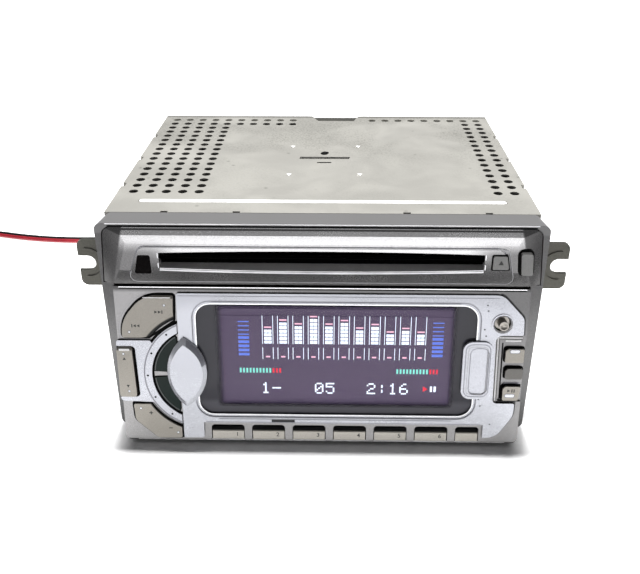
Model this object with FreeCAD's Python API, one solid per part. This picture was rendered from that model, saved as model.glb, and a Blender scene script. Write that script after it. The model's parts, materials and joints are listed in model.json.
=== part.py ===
import FreeCAD, Part
import math
import os

# Double-height car stereo receiver: fixed disc slot above, flip-down display panel below.
# Millimetres. X runs to the right as seen from the front, Y to the rear, Z up.
# Y is first counted from the front edge of the top cover. The finished pieces are moved
# so that the origin lies at the bottom centre of the box round the unit.

# Chassis
chassis_width = 178.0
chassis_height = 100.0
chassis_depth = 138.0
tray_sheet = 1.0
cover_sheet = 0.8
cover_flange = 9.0
sheet_gap = 0.2
fit_gap = 0.3

# Cover ventilation
vent_pitch = 7.14
vent_diameter = 4.0
vent_rows = 16
vent_front_y = 22.9
vent_left_x = -82.1
vent_left_columns = 5
vent_left_long_rows = 2
vent_left_long_columns = 10
vent_right_x = 82.7
vent_right_columns = 2
vent_right_long_rows = 1
vent_right_long_columns = 9
bead_width = 3.5
bead_depth = 0.5
bead_y = 12.3
bead_half_length = 78.0
notch_depth = 9.0

# Front frame
frame_depth = 11.2
frame_flare = 1.6
frame_wall = 3.3
frame_corner = 3.0
frame_bottom = 0.3
frame_bar = 1.3
frame_tongue = 5.0
frame_tongue_wall = 1.6
frame_groove = 0.45

# Upper fascia with the disc slot
seam_z = 73.9
seam_gap = 0.6
upper_top_z = 98.4
upper_top_half = 87.2
upper_seam_half = 89.3
face_top_z = 95.3
face_top_half = 80.2
face_seam_half = 85.0
face_top_y = -12.4
face_seam_y = -13.4
upper_flange = 1.8
upper_back_y = -4.2
face_crown = 0.75
pad_raise = 0.5
slot_half = 65.2
slot_top_z = 88.0
slot_floor_z = 82.0
slot_lip_end_z = 81.7
slot_lip_middle_z = 80.6
slot_arch_end_z = 88.4
slot_arch_middle_z = 89.7
curtain_thickness = 0.6
curtain_gap = 4.8

# Flip panel, measured on its own raked face: width across, height up from the chin
panel_half = 85.2
panel_height = 72.3
panel_rake = 8.75
chin_y = -25.3
chin_z = 1.8
chin_round = 2.5
panel_corner = 4.5
panel_back_y = -6.5
panel_wall = 2.0
panel_back_wall = 1.8
pivot_in = 5.0
pivot_up = 5.0
pin_diameter = 2.4
pin_clearance = 0.05
arm_x = 79.0
arm_thickness = 2.5
arm_nose = 3.0
button_gap = 0.35
button_flange = 0.8
rocker_play = 0.8
seek_pivot = (-72.5, 59.5, 134.0)
level_pivot = (-81.8, 34.3, 0.0)
band_pivot = (-70.5, 10.8, 50.0)
level_moat = 0.9
board_thickness = 1.2
board_in = 6.6

# Display
glass_left = -51.8
glass_right = 64.3
glass_low = 14.6
glass_high = 65.0
glass_corner = 6.0
glass_thickness = 1.5
plate_thickness = 1.2
plate_raise = 1.2

# Round control group at the left of the display
ring_x = -50.0
ring_z = 33.0
ring_outer = 25.2
ring_inner = 21.5
sound_outer = 20.6
sound_inner = 15.0
boss_rise = 2.2
boss_step = 0.8
boss_slope = 1.5
seek_slope_radius = 30.5
sound_proud = 0.6

# Preset row
preset_count = 6
preset_pitch = 17.62
preset_width = 13.7
preset_last_width = 9.5
preset_first_x = -47.2
preset_low = 1.7
preset_high = 5.5
preset_window_high = 8.8
preset_travel = 0.8

# Stick and right-hand keys
stick_x = 74.7
stick_z = 57.4
stick_well = 3.8
stick_opening = 3.4
stick_radius = 1.95
stick_proud = 3.6
collar_rise = 0.4
stick_centre_in = 3.6
ear_radius = 0.5
cross_radius = 0.45
lug_in = 4.0
lug_out = 5.4
key_travel = 0.8

# Side brackets
bracket_sheet = 1.6
bracket_y = 10.0
bracket_low_z = 61.0
bracket_height = 22.0
bracket_reach = 106.0
bracket_slot_x = 102.0
bracket_slot_width = 6.8
bracket_length = 40.0
screw_diameter = 5.0

# Disc deck
disc_radius = 60.0
disc_z = 84.5
deck_z = 72.0
deck_sheet = 1.2
deck_half = 68.0
deck_front_y = 6.0
deck_back_y = 132.0
spindle_y = 74.0
spindle_radius = 1.2
roller_y = 16.0
roller_radius = 4.2
roller_shaft_radius = 1.5
run_clearance = 0.05
gear_module = 0.5
roller_teeth = 24
drive_teeth = 12
gear_width = 2.4
sled_travel = 28.0
rod_radius = 1.5
rod_spread = 15.5
screw_offset = 20.5
lens_inner = 26.0
arm_pivot_y = 124.0
arm_z = 90.0

# Cartridge deck and its bridge
bridge_half = 64.0
bridge_top_z = 67.0
cartridge_half = 38.0
cartridge_floor_z = 46.0
cartridge_slot_z = 58.5
cartridge_slot_height = 7.0
cartridge_spindle_y = 46.0

# Main board
board_z = 8.0
board_half = 60.0
board_front_y = 14.0
board_back_y = 133.0
board_sheet = 1.6

# Rear
heat_sink_left = -84.0
heat_sink_right = -22.0
heat_sink_low = 8.0
heat_sink_high = 62.0
heat_sink_depth = 12.0
fin_count = 14
fin_thickness = 1.4
harness_x = 30.0
harness_width = 38.0
harness_height = 15.0
harness_z = board_z + board_sheet + harness_height / 2.0
plug_length = 19.0

# Power lead
wire_diameter = 2.6
wire_spacing = 3.2
coil_turns = 2
coil_inner_radius = 22.0
coil_layer_gap = 0.5
coil_x = -276.0
coil_top_y = 195.4

half_width = chassis_width / 2.0
tray_half = half_width - cover_sheet - sheet_gap
cover_under_z = chassis_height - cover_sheet
rake = math.radians(panel_rake)

parts = {}


def vec(x, y, z):
    return FreeCAD.Vector(x, y, z)


def box(x0, x1, y0, y1, z0, z1):
    return Part.makeBox(x1 - x0, y1 - y0, z1 - z0, vec(x0, y0, z0))


def rod(start, direction, radius, length):
    return Part.makeCylinder(radius, length, vec(*start), vec(*direction))


def cone(start, direction, r0, r1, length):
    return Part.makeCone(r0, r1, length, vec(*start), vec(*direction))


def fuse(shapes):
    solid = shapes[0]
    if len(shapes) > 1:
        solid = solid.multiFuse(shapes[1:])
    return solid.removeSplitter()


def cut(solid, tools):
    return solid.cut(Part.makeCompound(tools))


def group(shapes):
    return Part.makeCompound(shapes)


def rounded(points, radii):
    """Closed wire in the XZ plane through points, with each corner rounded by its radius."""
    count = len(points)
    edges = []
    starts = []
    for i in range(count):
        here = vec(points[i][0], 0, points[i][1])
        before = vec(points[i - 1][0], 0, points[i - 1][1])
        after = vec(points[(i + 1) % count][0], 0, points[(i + 1) % count][1])
        radius = radii[i] if isinstance(radii, (list, tuple)) else radii
        if radius <= 0:
            starts.append((here, here, None))
            continue
        to_before = (before - here).normalize()
        to_after = (after - here).normalize()
        half_angle = to_before.getAngle(to_after) / 2.0
        back = radius / math.tan(half_angle)
        middle = (to_before + to_after).normalize()
        centre = here + middle * (radius / math.sin(half_angle))
        top = centre - middle * radius
        starts.append((here + to_before * back, here + to_after * back, top))
    for i in range(count):
        into, out, top = starts[i]
        if top is not None:
            edges.append(Part.Arc(into, top, out).toShape())
        following = starts[(i + 1) % count][0]
        if (following - out).Length > 1e-6:
            edges.append(Part.LineSegment(out, following).toShape())
    return Part.Wire(edges)


def slab(points, radii, y0, y1):
    """Prism between two depths whose front view is the rounded polygon."""
    wire = rounded(points, radii)
    wire.translate(vec(0, y0, 0))
    return Part.Face(wire).extrude(vec(0, y1 - y0, 0))


def rect(x0, x1, z0, z1):
    return [(x0, z0), (x1, z0), (x1, z1), (x0, z1)]


def sector(cx, cz, r_in, r_out, from_deg, to_deg, y0, y1):
    """Part of a ring in the front view, from one angle to another."""
    def at(radius, degrees):
        turn = math.radians(degrees)
        return vec(cx + radius * math.cos(turn), y0, cz + radius * math.sin(turn))
    mid = (from_deg + to_deg) / 2.0
    edges = [
        Part.Arc(at(r_out, from_deg), at(r_out, mid), at(r_out, to_deg)).toShape(),
        Part.LineSegment(at(r_out, to_deg), at(r_in, to_deg)).toShape(),
        Part.Arc(at(r_in, to_deg), at(r_in, mid), at(r_in, from_deg)).toShape(),
        Part.LineSegment(at(r_in, from_deg), at(r_out, from_deg)).toShape(),
    ]
    return Part.Face(Part.Wire(edges)).extrude(vec(0, y1 - y0, 0))


def on_panel(shape):
    """Leans a shape, built upright with the face at Y = 0 and the chin at Z = 0, into place."""
    placed = shape.copy()
    placed.rotate(vec(0, 0, 0), vec(1, 0, 0), -panel_rake)
    placed.translate(vec(0, chin_y, chin_z))
    return placed


def panel_point(x, inward, up):
    y = chin_y + inward * math.cos(rake) + up * math.sin(rake)
    z = chin_z - inward * math.sin(rake) + up * math.cos(rake)
    return (x, y, z)


def spur(module, teeth, width, bore, x, y, z, turn=0.0):
    """Spur gear with its axis along X, from x to x + width."""
    pitch_r = module * teeth / 2.0
    root = pitch_r - 1.2 * module
    tip = pitch_r + 0.9 * module
    step = 2 * math.pi / teeth
    points = []
    for i in range(teeth):
        base = i * step + turn
        for share, radius in ((-0.40, root), (-0.22, pitch_r), (-0.11, tip), (0.11, tip),
                              (0.22, pitch_r), (0.40, root)):
            angle = base + share * step
            points.append(vec(x, y + radius * math.cos(angle), z + radius * math.sin(angle)))
    points.append(points[0])
    blank = Part.Face(Part.makePolygon(points)).extrude(vec(width, 0, 0))
    return blank.cut(rod((x, y, z), (1, 0, 0), bore, width))


def add(name, shape):
    parts[name] = shape


# Chassis tray: floor and two side walls, bosses for the board, threaded side holes
board_posts = [(sx * (board_half - 5.0), y) for sx in (-1, 1)
               for y in (board_front_y + 6.0, board_back_y - 6.0)]
post_radius = 3.2
side_hole_y = (32.0, 102.0)
side_hole_z = (22.0, 52.0)
bracket_screw_y = (20.0, 36.0)
bracket_mid_z = bracket_low_z + bracket_height / 2.0


def chassis_tray():
    side_top = cover_under_z - sheet_gap
    floor = box(-tray_half, tray_half, 0, chassis_depth - tray_sheet, 0, tray_sheet)
    sides = [box(sx * tray_half - (tray_sheet if sx > 0 else 0),
                 sx * tray_half + (0 if sx > 0 else tray_sheet),
                 0, chassis_depth - tray_sheet, 0, side_top) for sx in (-1, 1)]
    posts = [rod((x, y, tray_sheet / 2.0), (0, 0, 1), post_radius, board_z - tray_sheet / 2.0)
             for x, y in board_posts]
    solid = fuse([floor] + sides + posts)
    holes = []
    for y in side_hole_y:
        for z in side_hole_z:
            holes.append(rod((-half_width, y, z), (1, 0, 0), screw_diameter / 2.0, chassis_width))
    for y in bracket_screw_y:
        holes.append(rod((-half_width, y, bracket_mid_z), (1, 0, 0), 1.6, chassis_width))
    floor_slot_y = range(24, 124, 12)
    for y in floor_slot_y:
        for sx in (-1, 1):
            x = sx * (tray_half - 14.0)
            holes.append(box(x - 7, x + 7, y, y + 3.0, -1, tray_sheet + 1))
    add("chassis_tray", cut(solid, holes))


# Top cover: perforated sheet with side flanges, a pressed bead and a notch at the rear
def vent_centres():
    spots = set()
    for row in range(vent_rows):
        from_back = vent_rows - 1 - row
        y = vent_front_y + row * vent_pitch
        left = vent_left_long_columns if from_back < vent_left_long_rows else vent_left_columns
        right = vent_right_long_columns if from_back < vent_right_long_rows else vent_right_columns
        for i in range(left):
            spots.add((round(vent_left_x + i * vent_pitch, 3), round(y, 3)))
        for i in range(right):
            spots.add((round(vent_right_x - i * vent_pitch, 3), round(y, 3)))
    return sorted(spots)


def top_cover():
    top = box(-half_width, half_width, 0, chassis_depth, cover_under_z, chassis_height)
    flanges = [box(-half_width, -half_width + cover_sheet, 0, chassis_depth,
                   chassis_height - cover_flange, chassis_height),
               box(half_width - cover_sheet, half_width, 0, chassis_depth,
                   chassis_height - cover_flange, chassis_height)]
    bead_under = box(-bead_half_length, bead_half_length, bead_y - bead_width / 2.0,
                     bead_y + bead_width / 2.0, cover_under_z - bead_depth, cover_under_z)
    solid = fuse([top, bead_under] + flanges)
    groove_wall = 0.5
    bead_groove = box(-bead_half_length + groove_wall, bead_half_length - groove_wall,
                      bead_y - bead_width / 2.0 + groove_wall,
                      bead_y + bead_width / 2.0 - groove_wall,
                      chassis_height - bead_depth, chassis_height + 1)
    low = cover_under_z - 1
    high = 3.0
    tools = [bead_groove]
    for x, y in vent_centres():
        tools.append(rod((x, y, low), (0, 0, 1), vent_diameter / 2.0, high))
    slit_y = 67.0
    tools.append(box(-11.8, 12.1, slit_y - 0.6, slit_y + 0.6, low, low + high))
    tools.append(box(-3.3, 3.3, slit_y - 6.6, slit_y - 5.4, low, low + high))
    tools.append(rod((0, slit_y + 7.0, low), (0, 0, 1), 1.85, high))
    for x in (-16.0, 16.0):
        for y in (44.2, 84.4):
            tools.append(cone((x, y, chassis_height - 0.35), (0, 0, 1), 0.2, 1.3, 0.4))
    wide = (-8.0, 18.5)
    narrow = (-4.0, 15.5)
    notch_points = [vec(wide[0], chassis_depth + 1, low), vec(wide[1], chassis_depth + 1, low),
                    vec(narrow[1], chassis_depth - notch_depth, low),
                    vec(narrow[0], chassis_depth - notch_depth, low)]
    notch_wire = Part.makePolygon(notch_points + [notch_points[0]])
    tools.append(Part.Face(notch_wire).extrude(vec(0, 0, high)))
    for x in (-64.6, -34.9, 34.7, 68.1):
        tools.append(box(x - 1.5, x + 1.5, -1, 1.4, low, low + high))
    for sx in (-1, 1):
        for y in (29.0, 64.0, 99.0):
            edge = sx * half_width
            tools.append(box(min(edge, edge - sx * 1.6), max(edge, edge - sx * 1.6), y, y + 4.0,
                             low, low + high))
    add("top_cover", cut(solid, tools))


# Rear panel with cut-outs for the sockets, and its top flange seen in the cover's notch
antenna_x = 72.0
antenna_z = 30.0
antenna_radius = 5.5
antenna_bore_radius = 4.0
antenna_end_y = chassis_depth + 10.0
tuner_front_y = 101.0
tuner_top_z = 46.0
line_x = (12.0, 26.0, 40.0)
line_z = 44.0
line_radius = 4.15
fuse_x = 59.2
fuse_half = 5.4
fuse_z = board_z + board_sheet + fuse_half
rear_top_z = cover_under_z - sheet_gap
rear_low_z = tray_sheet + sheet_gap
rear_inner_y = chassis_depth - tray_sheet
rear_screws = [(-80.0, 90.0), (-30.0, 90.0), (30.0, 90.0), (80.0, 90.0), (-80.0, 4.5), (80.0, 4.5)]


def rear_panel():
    inner_half = tray_half - tray_sheet - sheet_gap
    plate = box(-inner_half, inner_half, rear_inner_y, chassis_depth, rear_low_z, rear_top_z)
    flange = box(-inner_half + 2, inner_half - 2, chassis_depth - 10.0, chassis_depth,
                 rear_top_z - tray_sheet, rear_top_z)
    solid = fuse([plate, flange])
    y0 = rear_inner_y - 1
    deep = tray_sheet + 2
    tools = [box(harness_x - harness_width / 2.0 - sheet_gap,
                 harness_x + harness_width / 2.0 + sheet_gap, y0, y0 + deep,
                 harness_z - harness_height / 2.0 - sheet_gap,
                 harness_z + harness_height / 2.0 + sheet_gap),
             rod((antenna_x, y0, antenna_z), (0, 1, 0), antenna_radius + sheet_gap, deep),
             box(heat_sink_left + 6, heat_sink_right - 6, y0, y0 + deep,
                 heat_sink_low + 6, heat_sink_high - 6),
             box(fuse_x - fuse_half - sheet_gap, fuse_x + fuse_half + sheet_gap, y0, y0 + deep,
                 fuse_z - fuse_half - sheet_gap, fuse_z + fuse_half + sheet_gap)]
    for x in line_x:
        tools.append(rod((x, y0, line_z), (0, 1, 0), line_radius + sheet_gap, deep))
    for x, z in rear_screws:
        tools.append(rod((x, y0, z), (0, 1, 0), 1.6, deep))
    for i in range(9):
        x = -52.0 + i * 13.0
        tools.append(box(x - 4.5, x + 4.5, y0, y0 + deep, 76.0, 79.0))
    add("rear_panel", cut(solid, tools))


def heat_sink():
    base_y = chassis_depth
    base = box(heat_sink_left, heat_sink_right, base_y, base_y + 3.0,
               heat_sink_low, heat_sink_high)
    seat = box(heat_sink_left + 6.4, heat_sink_right - 6.4, rear_inner_y - 2.0, base_y,
               heat_sink_low + 6.4, heat_sink_high - 6.4)
    pitch = (heat_sink_right - heat_sink_left - fin_thickness) / (fin_count - 1)
    fins = [box(heat_sink_left + i * pitch, heat_sink_left + i * pitch + fin_thickness,
                base_y + 2.0, base_y + heat_sink_depth, heat_sink_low, heat_sink_high)
            for i in range(fin_count)]
    add("heat_sink", fuse([base, seat] + fins))


# Side brackets: a flange on the side wall and an ear with an open slot and a pressed ring
def side_brackets():
    both = []
    high_z = bracket_low_z + bracket_height
    inner = half_width + sheet_gap
    for sx in (-1, 1):
        flange = box(inner, inner + bracket_sheet, bracket_y - bracket_sheet / 2.0,
                     bracket_y + bracket_length - bracket_sheet / 2.0, bracket_low_z, high_z)
        ear = slab(rect(inner, bracket_reach, bracket_low_z, high_z), [0, 3.0, 3.0, 0],
                   bracket_y - bracket_sheet / 2.0, bracket_y + bracket_sheet / 2.0)
        ring_out = rod((bracket_slot_x, bracket_y - bracket_sheet / 2.0 - 0.5, bracket_mid_z),
                       (0, 1, 0), 7.2, 0.6)
        ring_in = rod((bracket_slot_x, bracket_y - bracket_sheet / 2.0 - 1, bracket_mid_z),
                      (0, 1, 0), 6.2, 3)
        ring = ring_out.cut(ring_in).common(box(inner + 2, bracket_slot_x + 1.0, 0, 20,
                                                bracket_low_z, high_z))
        solid = fuse([flange, ear, ring])
        half_slot = bracket_slot_width / 2.0
        tools = [rod((bracket_slot_x, 0, bracket_mid_z), (0, 1, 0), half_slot, 20),
                 box(bracket_slot_x, bracket_reach + 1, 0, 20, bracket_mid_z - half_slot,
                     bracket_mid_z + half_slot)]
        for y in bracket_screw_y:
            tools.append(rod((inner - 1, y, bracket_mid_z), (1, 0, 0), 1.7, 5))
        solid = cut(solid, tools)
        if sx < 0:
            solid = solid.mirror(vec(0, 0, 0), vec(1, 0, 0))
        both.append(solid)
    add("side_brackets", group(both))


def pan_screw(point, direction, shank, head_radius=2.9, head_height=1.8, shank_radius=1.45):
    """Pan-head screw; point is under the head, direction points the way the shank goes."""
    away = tuple(-d for d in direction)
    head = rod(point, away, head_radius, head_height)
    body = rod(point, direction, shank_radius, shank)
    solid = fuse([head, body])
    crown = tuple(point[i] + away[i] * (head_height - 0.8) for i in range(3))
    span = head_radius * 1.1
    across = [box(-span / 2.0, span / 2.0, -0.4, 0.4, 0, 2),
              box(-0.4, 0.4, -span / 2.0, span / 2.0, 0, 2)]
    turn = FreeCAD.Rotation(vec(0, 0, 1), vec(*away))
    for blade in across:
        blade.Placement = FreeCAD.Placement(vec(*crown), turn).multiply(blade.Placement)
    return cut(solid, across)


def case_screws():
    screws = []
    outer = half_width + sheet_gap + bracket_sheet
    for sx in (-1, 1):
        for y in bracket_screw_y:
            screws.append(pan_screw((sx * outer, y, bracket_mid_z), (-sx, 0, 0), 5.5))
    for x, z in rear_screws:
        screws.append(pan_screw((x, chassis_depth, z), (0, -1, 0), 5.0))
    for x, y in board_posts:
        screws.append(pan_screw((x, y, board_z + board_sheet), (0, 0, -1), board_sheet - 0.2,
                                2.6, 1.6, 1.2))
    add("case_screws", group(screws))


# Front frame: flared ring, stepped opening, and a tongue inside the chassis
def frame_outline(half, low, high, y):
    wire = rounded(rect(-half, half, low, high), frame_corner)
    wire.translate(vec(0, y, 0))
    return wire


def upper_outline(gap):
    return [(-upper_seam_half - gap, seam_z - gap), (upper_seam_half + gap, seam_z - gap),
            (upper_top_half + gap, upper_top_z + gap), (-upper_top_half - gap, upper_top_z + gap)]


def front_frame():
    back_y = -fit_gap
    outer = Part.makeLoft([frame_outline(half_width, frame_bottom, chassis_height, back_y),
                           frame_outline(half_width + frame_flare, frame_bottom,
                                         chassis_height, -frame_depth)], True, True)
    tongue_half = tray_half - tray_sheet - fit_gap
    tongue_low = tray_sheet + fit_gap
    tongue_high = cover_under_z - bead_depth - fit_gap
    tongue = box(-tongue_half, tongue_half, back_y - 2.0, frame_tongue, tongue_low, tongue_high)
    solid = fuse([outer, tongue])
    lower = box(-panel_half - 0.5, panel_half + 0.5, -frame_depth - 1, frame_tongue + 1,
                frame_bottom + frame_bar, seam_z + 1)
    through_half = tongue_half - frame_tongue_wall
    upper = box(-through_half, through_half, -frame_depth - 1, frame_tongue + 1,
                seam_z - 1, tongue_high - frame_tongue_wall)
    tongue_hole = box(-through_half, through_half, back_y, frame_tongue + 1,
                      tongue_low + frame_tongue_wall, tongue_high - frame_tongue_wall)
    pocket = slab(upper_outline(frame_groove), [0, 0, 4.2, 4.2], -frame_depth - 1,
                  -frame_depth + upper_flange + 0.2)
    add("front_frame", cut(solid, [lower, upper, tongue_hole, pocket]))


def fascia_y(z):
    """Depth of the crowned main face at a height."""
    share = (z - seam_z) / (face_top_z - seam_z)
    flat = face_seam_y + share * (face_top_y - face_seam_y)
    return flat - face_crown * 4.0 * share * (1.0 - share)


def crown(raised):
    """Cylinder whose front passes through the face's seam and top edge, or stands off them."""
    chord = math.hypot(face_top_y - face_seam_y, face_top_z - seam_z)
    radius = (chord * chord / 4.0 + face_crown * face_crown) / (2.0 * face_crown)
    lean = math.atan2(face_top_y - face_seam_y, face_top_z - seam_z)
    inward = radius - face_crown
    middle_y = (face_seam_y + face_top_y) / 2.0 + inward * math.cos(lean)
    middle_z = (seam_z + face_top_z) / 2.0 - inward * math.sin(lean)
    return rod((-100, middle_y, middle_z), (1, 0, 0), radius + raised, 200)


sub_y0 = -3.6
sub_y1 = -1.6
fascia_body_half = tray_half - tray_sheet - fit_gap - frame_tongue_wall - 0.3
fascia_wall_back = -frame_depth + 0.4
eject_outline = [(68.5, 82.2), (75.1, 82.2), (73.9, 88.0), (68.5, 88.0)]
eject_gap = 0.6
release_pocket = 1.1
release_pocket_depth = 1.2
release_outline = [(80.1, 80.0), (84.7, 80.0), (83.8, 89.5), (79.2, 89.5)]
sensor_outline = [(-75.4, 79.2), (-68.7, 79.2), (-68.8, 87.2), (-73.7, 87.2)]
pad_outline = [(-79.0, 75.2), (78.6, 75.2), (72.3, 90.8), (-73.0, 90.8)]


def grown(points, gap):
    """The same convex outline with every side moved out by a gap."""
    count = len(points)
    lines = []
    for i in range(count):
        x0, z0 = points[i]
        x1, z1 = points[(i + 1) % count]
        length = math.hypot(x1 - x0, z1 - z0)
        nx = (z1 - z0) / length
        nz = -(x1 - x0) / length
        lines.append((nx, nz, nx * x0 + nz * z0 + gap))
    out = []
    for i in range(count):
        a = lines[i - 1]
        b = lines[i]
        det = a[0] * b[1] - a[1] * b[0]
        out.append(((a[2] * b[1] - a[1] * b[2]) / det, (a[0] * b[2] - a[2] * b[0]) / det))
    return out


def slot_flare(edge_z, middle_z, inner_z, back_y):
    """Cut from the slot's straight edge behind to its bowed edge in front."""
    half = slot_half - 0.05
    keep_z = inner_z + (1.0 if middle_z < inner_z else -1.0)
    ends = [vec(-half, 0, keep_z), vec(-half, 0, edge_z), vec(half, 0, edge_z), vec(half, 0, keep_z)]
    front = Part.Wire([Part.LineSegment(ends[0], ends[1]).toShape(),
                       Part.Arc(ends[1], vec(0, 0, middle_z), ends[2]).toShape(),
                       Part.LineSegment(ends[2], ends[3]).toShape(),
                       Part.LineSegment(ends[3], ends[0]).toShape()])
    front.translate(vec(0, face_seam_y - 1.2, 0))
    behind = [(-half, inner_z), (0, inner_z), (half, inner_z), (half, keep_z), (-half, keep_z),
              (-half, inner_z)]
    back = Part.makePolygon([vec(x, back_y, z) for x, z in behind])
    return Part.makeLoft([front, back], True, True)


def disc_fascia():
    base_y = -frame_depth
    outline = upper_outline(0.0)
    flange = slab(outline, [0, 0, 4.0, 4.0], base_y, base_y + upper_flange)
    body_half = fascia_body_half
    body = box(-body_half, body_half, base_y + upper_flange - 0.1, upper_back_y, seam_z,
               upper_top_z - 3.4)
    low = [vec(x, base_y, z) for x, z in outline]
    grow = 1.0 + face_crown / (base_y - face_seam_y)
    face = []
    for corner, (x, y, z) in zip(low, ((-face_seam_half, face_seam_y, seam_z),
                                       (face_seam_half, face_seam_y, seam_z),
                                       (face_top_half, face_top_y, face_top_z),
                                       (-face_top_half, face_top_y, face_top_z))):
        face.append(corner + (vec(x, y, z) - corner) * grow)
    front = Part.makeLoft([Part.makePolygon(low + [low[0]]), Part.makePolygon(face + [face[0]])],
                          True, True)
    front = front.common(crown(0.0))
    corner_keep = slab(outline, [0, 0, 4.0, 4.0], base_y - 5, base_y + 1)
    front = front.common(corner_keep)
    pad = slab(pad_outline, [2.0, 2.0, 5.0, 5.0], face_seam_y - 4, base_y)
    solid = fuse([flange, body, front, pad.common(crown(pad_raise))])
    hollow = box(-body_half + 2, body_half - 2, fascia_wall_back, upper_back_y + 1,
                 seam_z + 2, upper_top_z - 5.4)
    shelves = [box(-slot_half - 2, slot_half + 2, base_y, upper_back_y, low_z, high_z)
               for low_z, high_z in ((slot_floor_z - 2.2, slot_floor_z), (slot_top_z, slot_top_z + 1.6))]
    hollow = cut(hollow, shelves)
    slot = box(-slot_half, slot_half, face_seam_y - 4, upper_back_y + 1, slot_floor_z, slot_top_z)
    lip = slot_flare(slot_lip_end_z, slot_lip_middle_z, slot_floor_z, base_y + 3.5)
    arch = slot_flare(slot_arch_end_z, slot_arch_middle_z, slot_top_z, base_y + 0.2)
    solid = solid.cut(hollow).cut(slot).cut(lip).cut(arch)
    tools = []
    tools.append(slab(grown(eject_outline, eject_gap), 0.9, face_seam_y - 4, 0))
    tools.append(slab(grown(release_outline, button_gap), 1.6, face_seam_y - 4, 0))
    tools.append(slab(grown(release_outline, release_pocket), 2.4, face_seam_y - 4,
                      face_seam_y + release_pocket_depth))
    tools.append(slab(grown(sensor_outline, 0.1), 0.9, face_seam_y - 4, 0))
    release_low = release_outline[0][1] - button_gap - 1.2
    release_high = release_outline[2][1] + button_gap + 1.2
    tools.append(box(body_half - 2.5, body_half + 1, fascia_wall_back, 0, release_low, release_high))
    add("disc_fascia", cut(solid, tools))


def sensor_window():
    window = slab(sensor_outline, 0.8, fascia_y(83.0) - 0.3, -frame_depth + 2.4)
    add("sensor_window", window)


def dust_curtain():
    y0 = upper_back_y - curtain_thickness - 1.0
    mid = slot_floor_z + 2.7
    strips = [box(-slot_half + 0.2, slot_half - 0.2, y0, y0 + curtain_thickness,
                  mid + curtain_gap / 2.0, slot_top_z),
              box(-slot_half + 0.2, slot_half - 0.2, y0, y0 + curtain_thickness,
                  slot_floor_z, mid - curtain_gap / 2.0)]
    add("dust_curtain", group(strips))


def fascia_button(name, outline, proud, radius):
    """Key of the upper fascia: cap through its hole, and a flange behind that keeps it in."""
    back = fascia_wall_back + fit_gap
    cap = slab(outline, radius, fascia_y(84.0) - pad_raise - proud, back + 0.1)
    flange = slab(grown(outline, button_gap + 0.7), 0.5, back, back + 1.2)
    flange = flange.common(box(0, fascia_body_half - fit_gap, back - 1, back + 2, 0, 100))
    middle_x = sum(p[0] for p in outline) / 4.0
    middle_z = sum(p[1] for p in outline) / 4.0
    stem_from = back + 1.0
    stem_to = sub_y0 - key_travel - 0.15
    stem = rod((middle_x, stem_from, middle_z), (0, 1, 0), 1.1, stem_to - stem_from)
    add(name, fuse([cap, flange, stem]))


# Sub-panel behind the flip panel, with the cartridge slot and both hinge arms
def sub_panel():
    half = fascia_body_half
    low = frame_bottom + frame_bar + 1.6
    high = upper_top_z - 3.6
    plate = box(-half, half, sub_y0, sub_y1, low, high)
    pivot = panel_point(0, pivot_in, pivot_up)
    arms = []
    for sx in (-1, 1):
        x0 = sx * (arm_x + arm_thickness / 2.0) - arm_thickness / 2.0
        nose = rod((x0, pivot[1], pivot[2]), (1, 0, 0), arm_nose, arm_thickness)
        shank = box(x0, x0 + arm_thickness, pivot[1], sub_y0 + 0.5, pivot[2] - arm_nose,
                    pivot[2] + arm_nose)
        arms += [nose, shank]
    solid = fuse([plate] + arms)
    slot_low = cartridge_slot_z - cartridge_slot_height / 2.0
    slot_high = cartridge_slot_z + cartridge_slot_height / 2.0
    tools = [box(-cartridge_half + 1, cartridge_half - 1, sub_y0 - 1, sub_y1 + 1,
                 slot_low, slot_high + 0.4),
             box(-slot_half, slot_half, sub_y0 - 1, sub_y1 + 1, slot_floor_z, slot_top_z),
             rod((-90, pivot[1], pivot[2]), (1, 0, 0), pin_diameter / 2.0 + pin_clearance, 180)]
    add("sub_panel", cut(solid, tools))


def cartridge_door():
    slot_low = cartridge_slot_z - cartridge_slot_height / 2.0
    slot_high = cartridge_slot_z + cartridge_slot_height / 2.0
    half = cartridge_half - 1 - fit_gap
    flap = box(-half, half, sub_y0 + 0.5, sub_y0 + 1.5, slot_low + 0.3, slot_high - 0.3)
    barrel = rod((-half, sub_y0 + 1.2, slot_high - 0.6), (1, 0, 0), 0.7, 2 * half)
    add("cartridge_door", fuse([flap, barrel]))


# Flip panel: hollow raked housing and its flat back
def panel_side(inset, front_in, back_y):
    """Side view of the panel as a face at X = 0, drawn in from the outside by an inset."""
    front_top = panel_point(0, front_in, panel_height - inset)
    front_low = panel_point(0, front_in, inset)
    back_top_z = front_top[2] - (back_y - front_top[1]) * math.tan(rake)
    back_low_z = frame_bottom + frame_bar + 0.6 + inset
    low_y = chin_y + chin_round + front_in
    low_z = min(front_low[2], chin_z + inset)
    points = [vec(0, back_y, back_low_z), vec(0, low_y + 6.0, low_z - 0.1 * inset),
              vec(*front_low), vec(*front_top), vec(0, back_y, back_top_z)]
    return Part.Face(Part.makePolygon(points + [points[0]]))


def panel_block(inset, front_in, back_y):
    half = panel_half - inset
    block = panel_side(inset, front_in, back_y)
    block.translate(vec(-half, 0, 0))
    block = block.extrude(vec(2 * half, 0, 0))
    corner = max(panel_corner - inset, 0.5)
    outline = slab(rect(-half, half, inset - 0.5, panel_height + 6), [corner, corner, 0, 0], -10, 40)
    return block, outline


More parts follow.
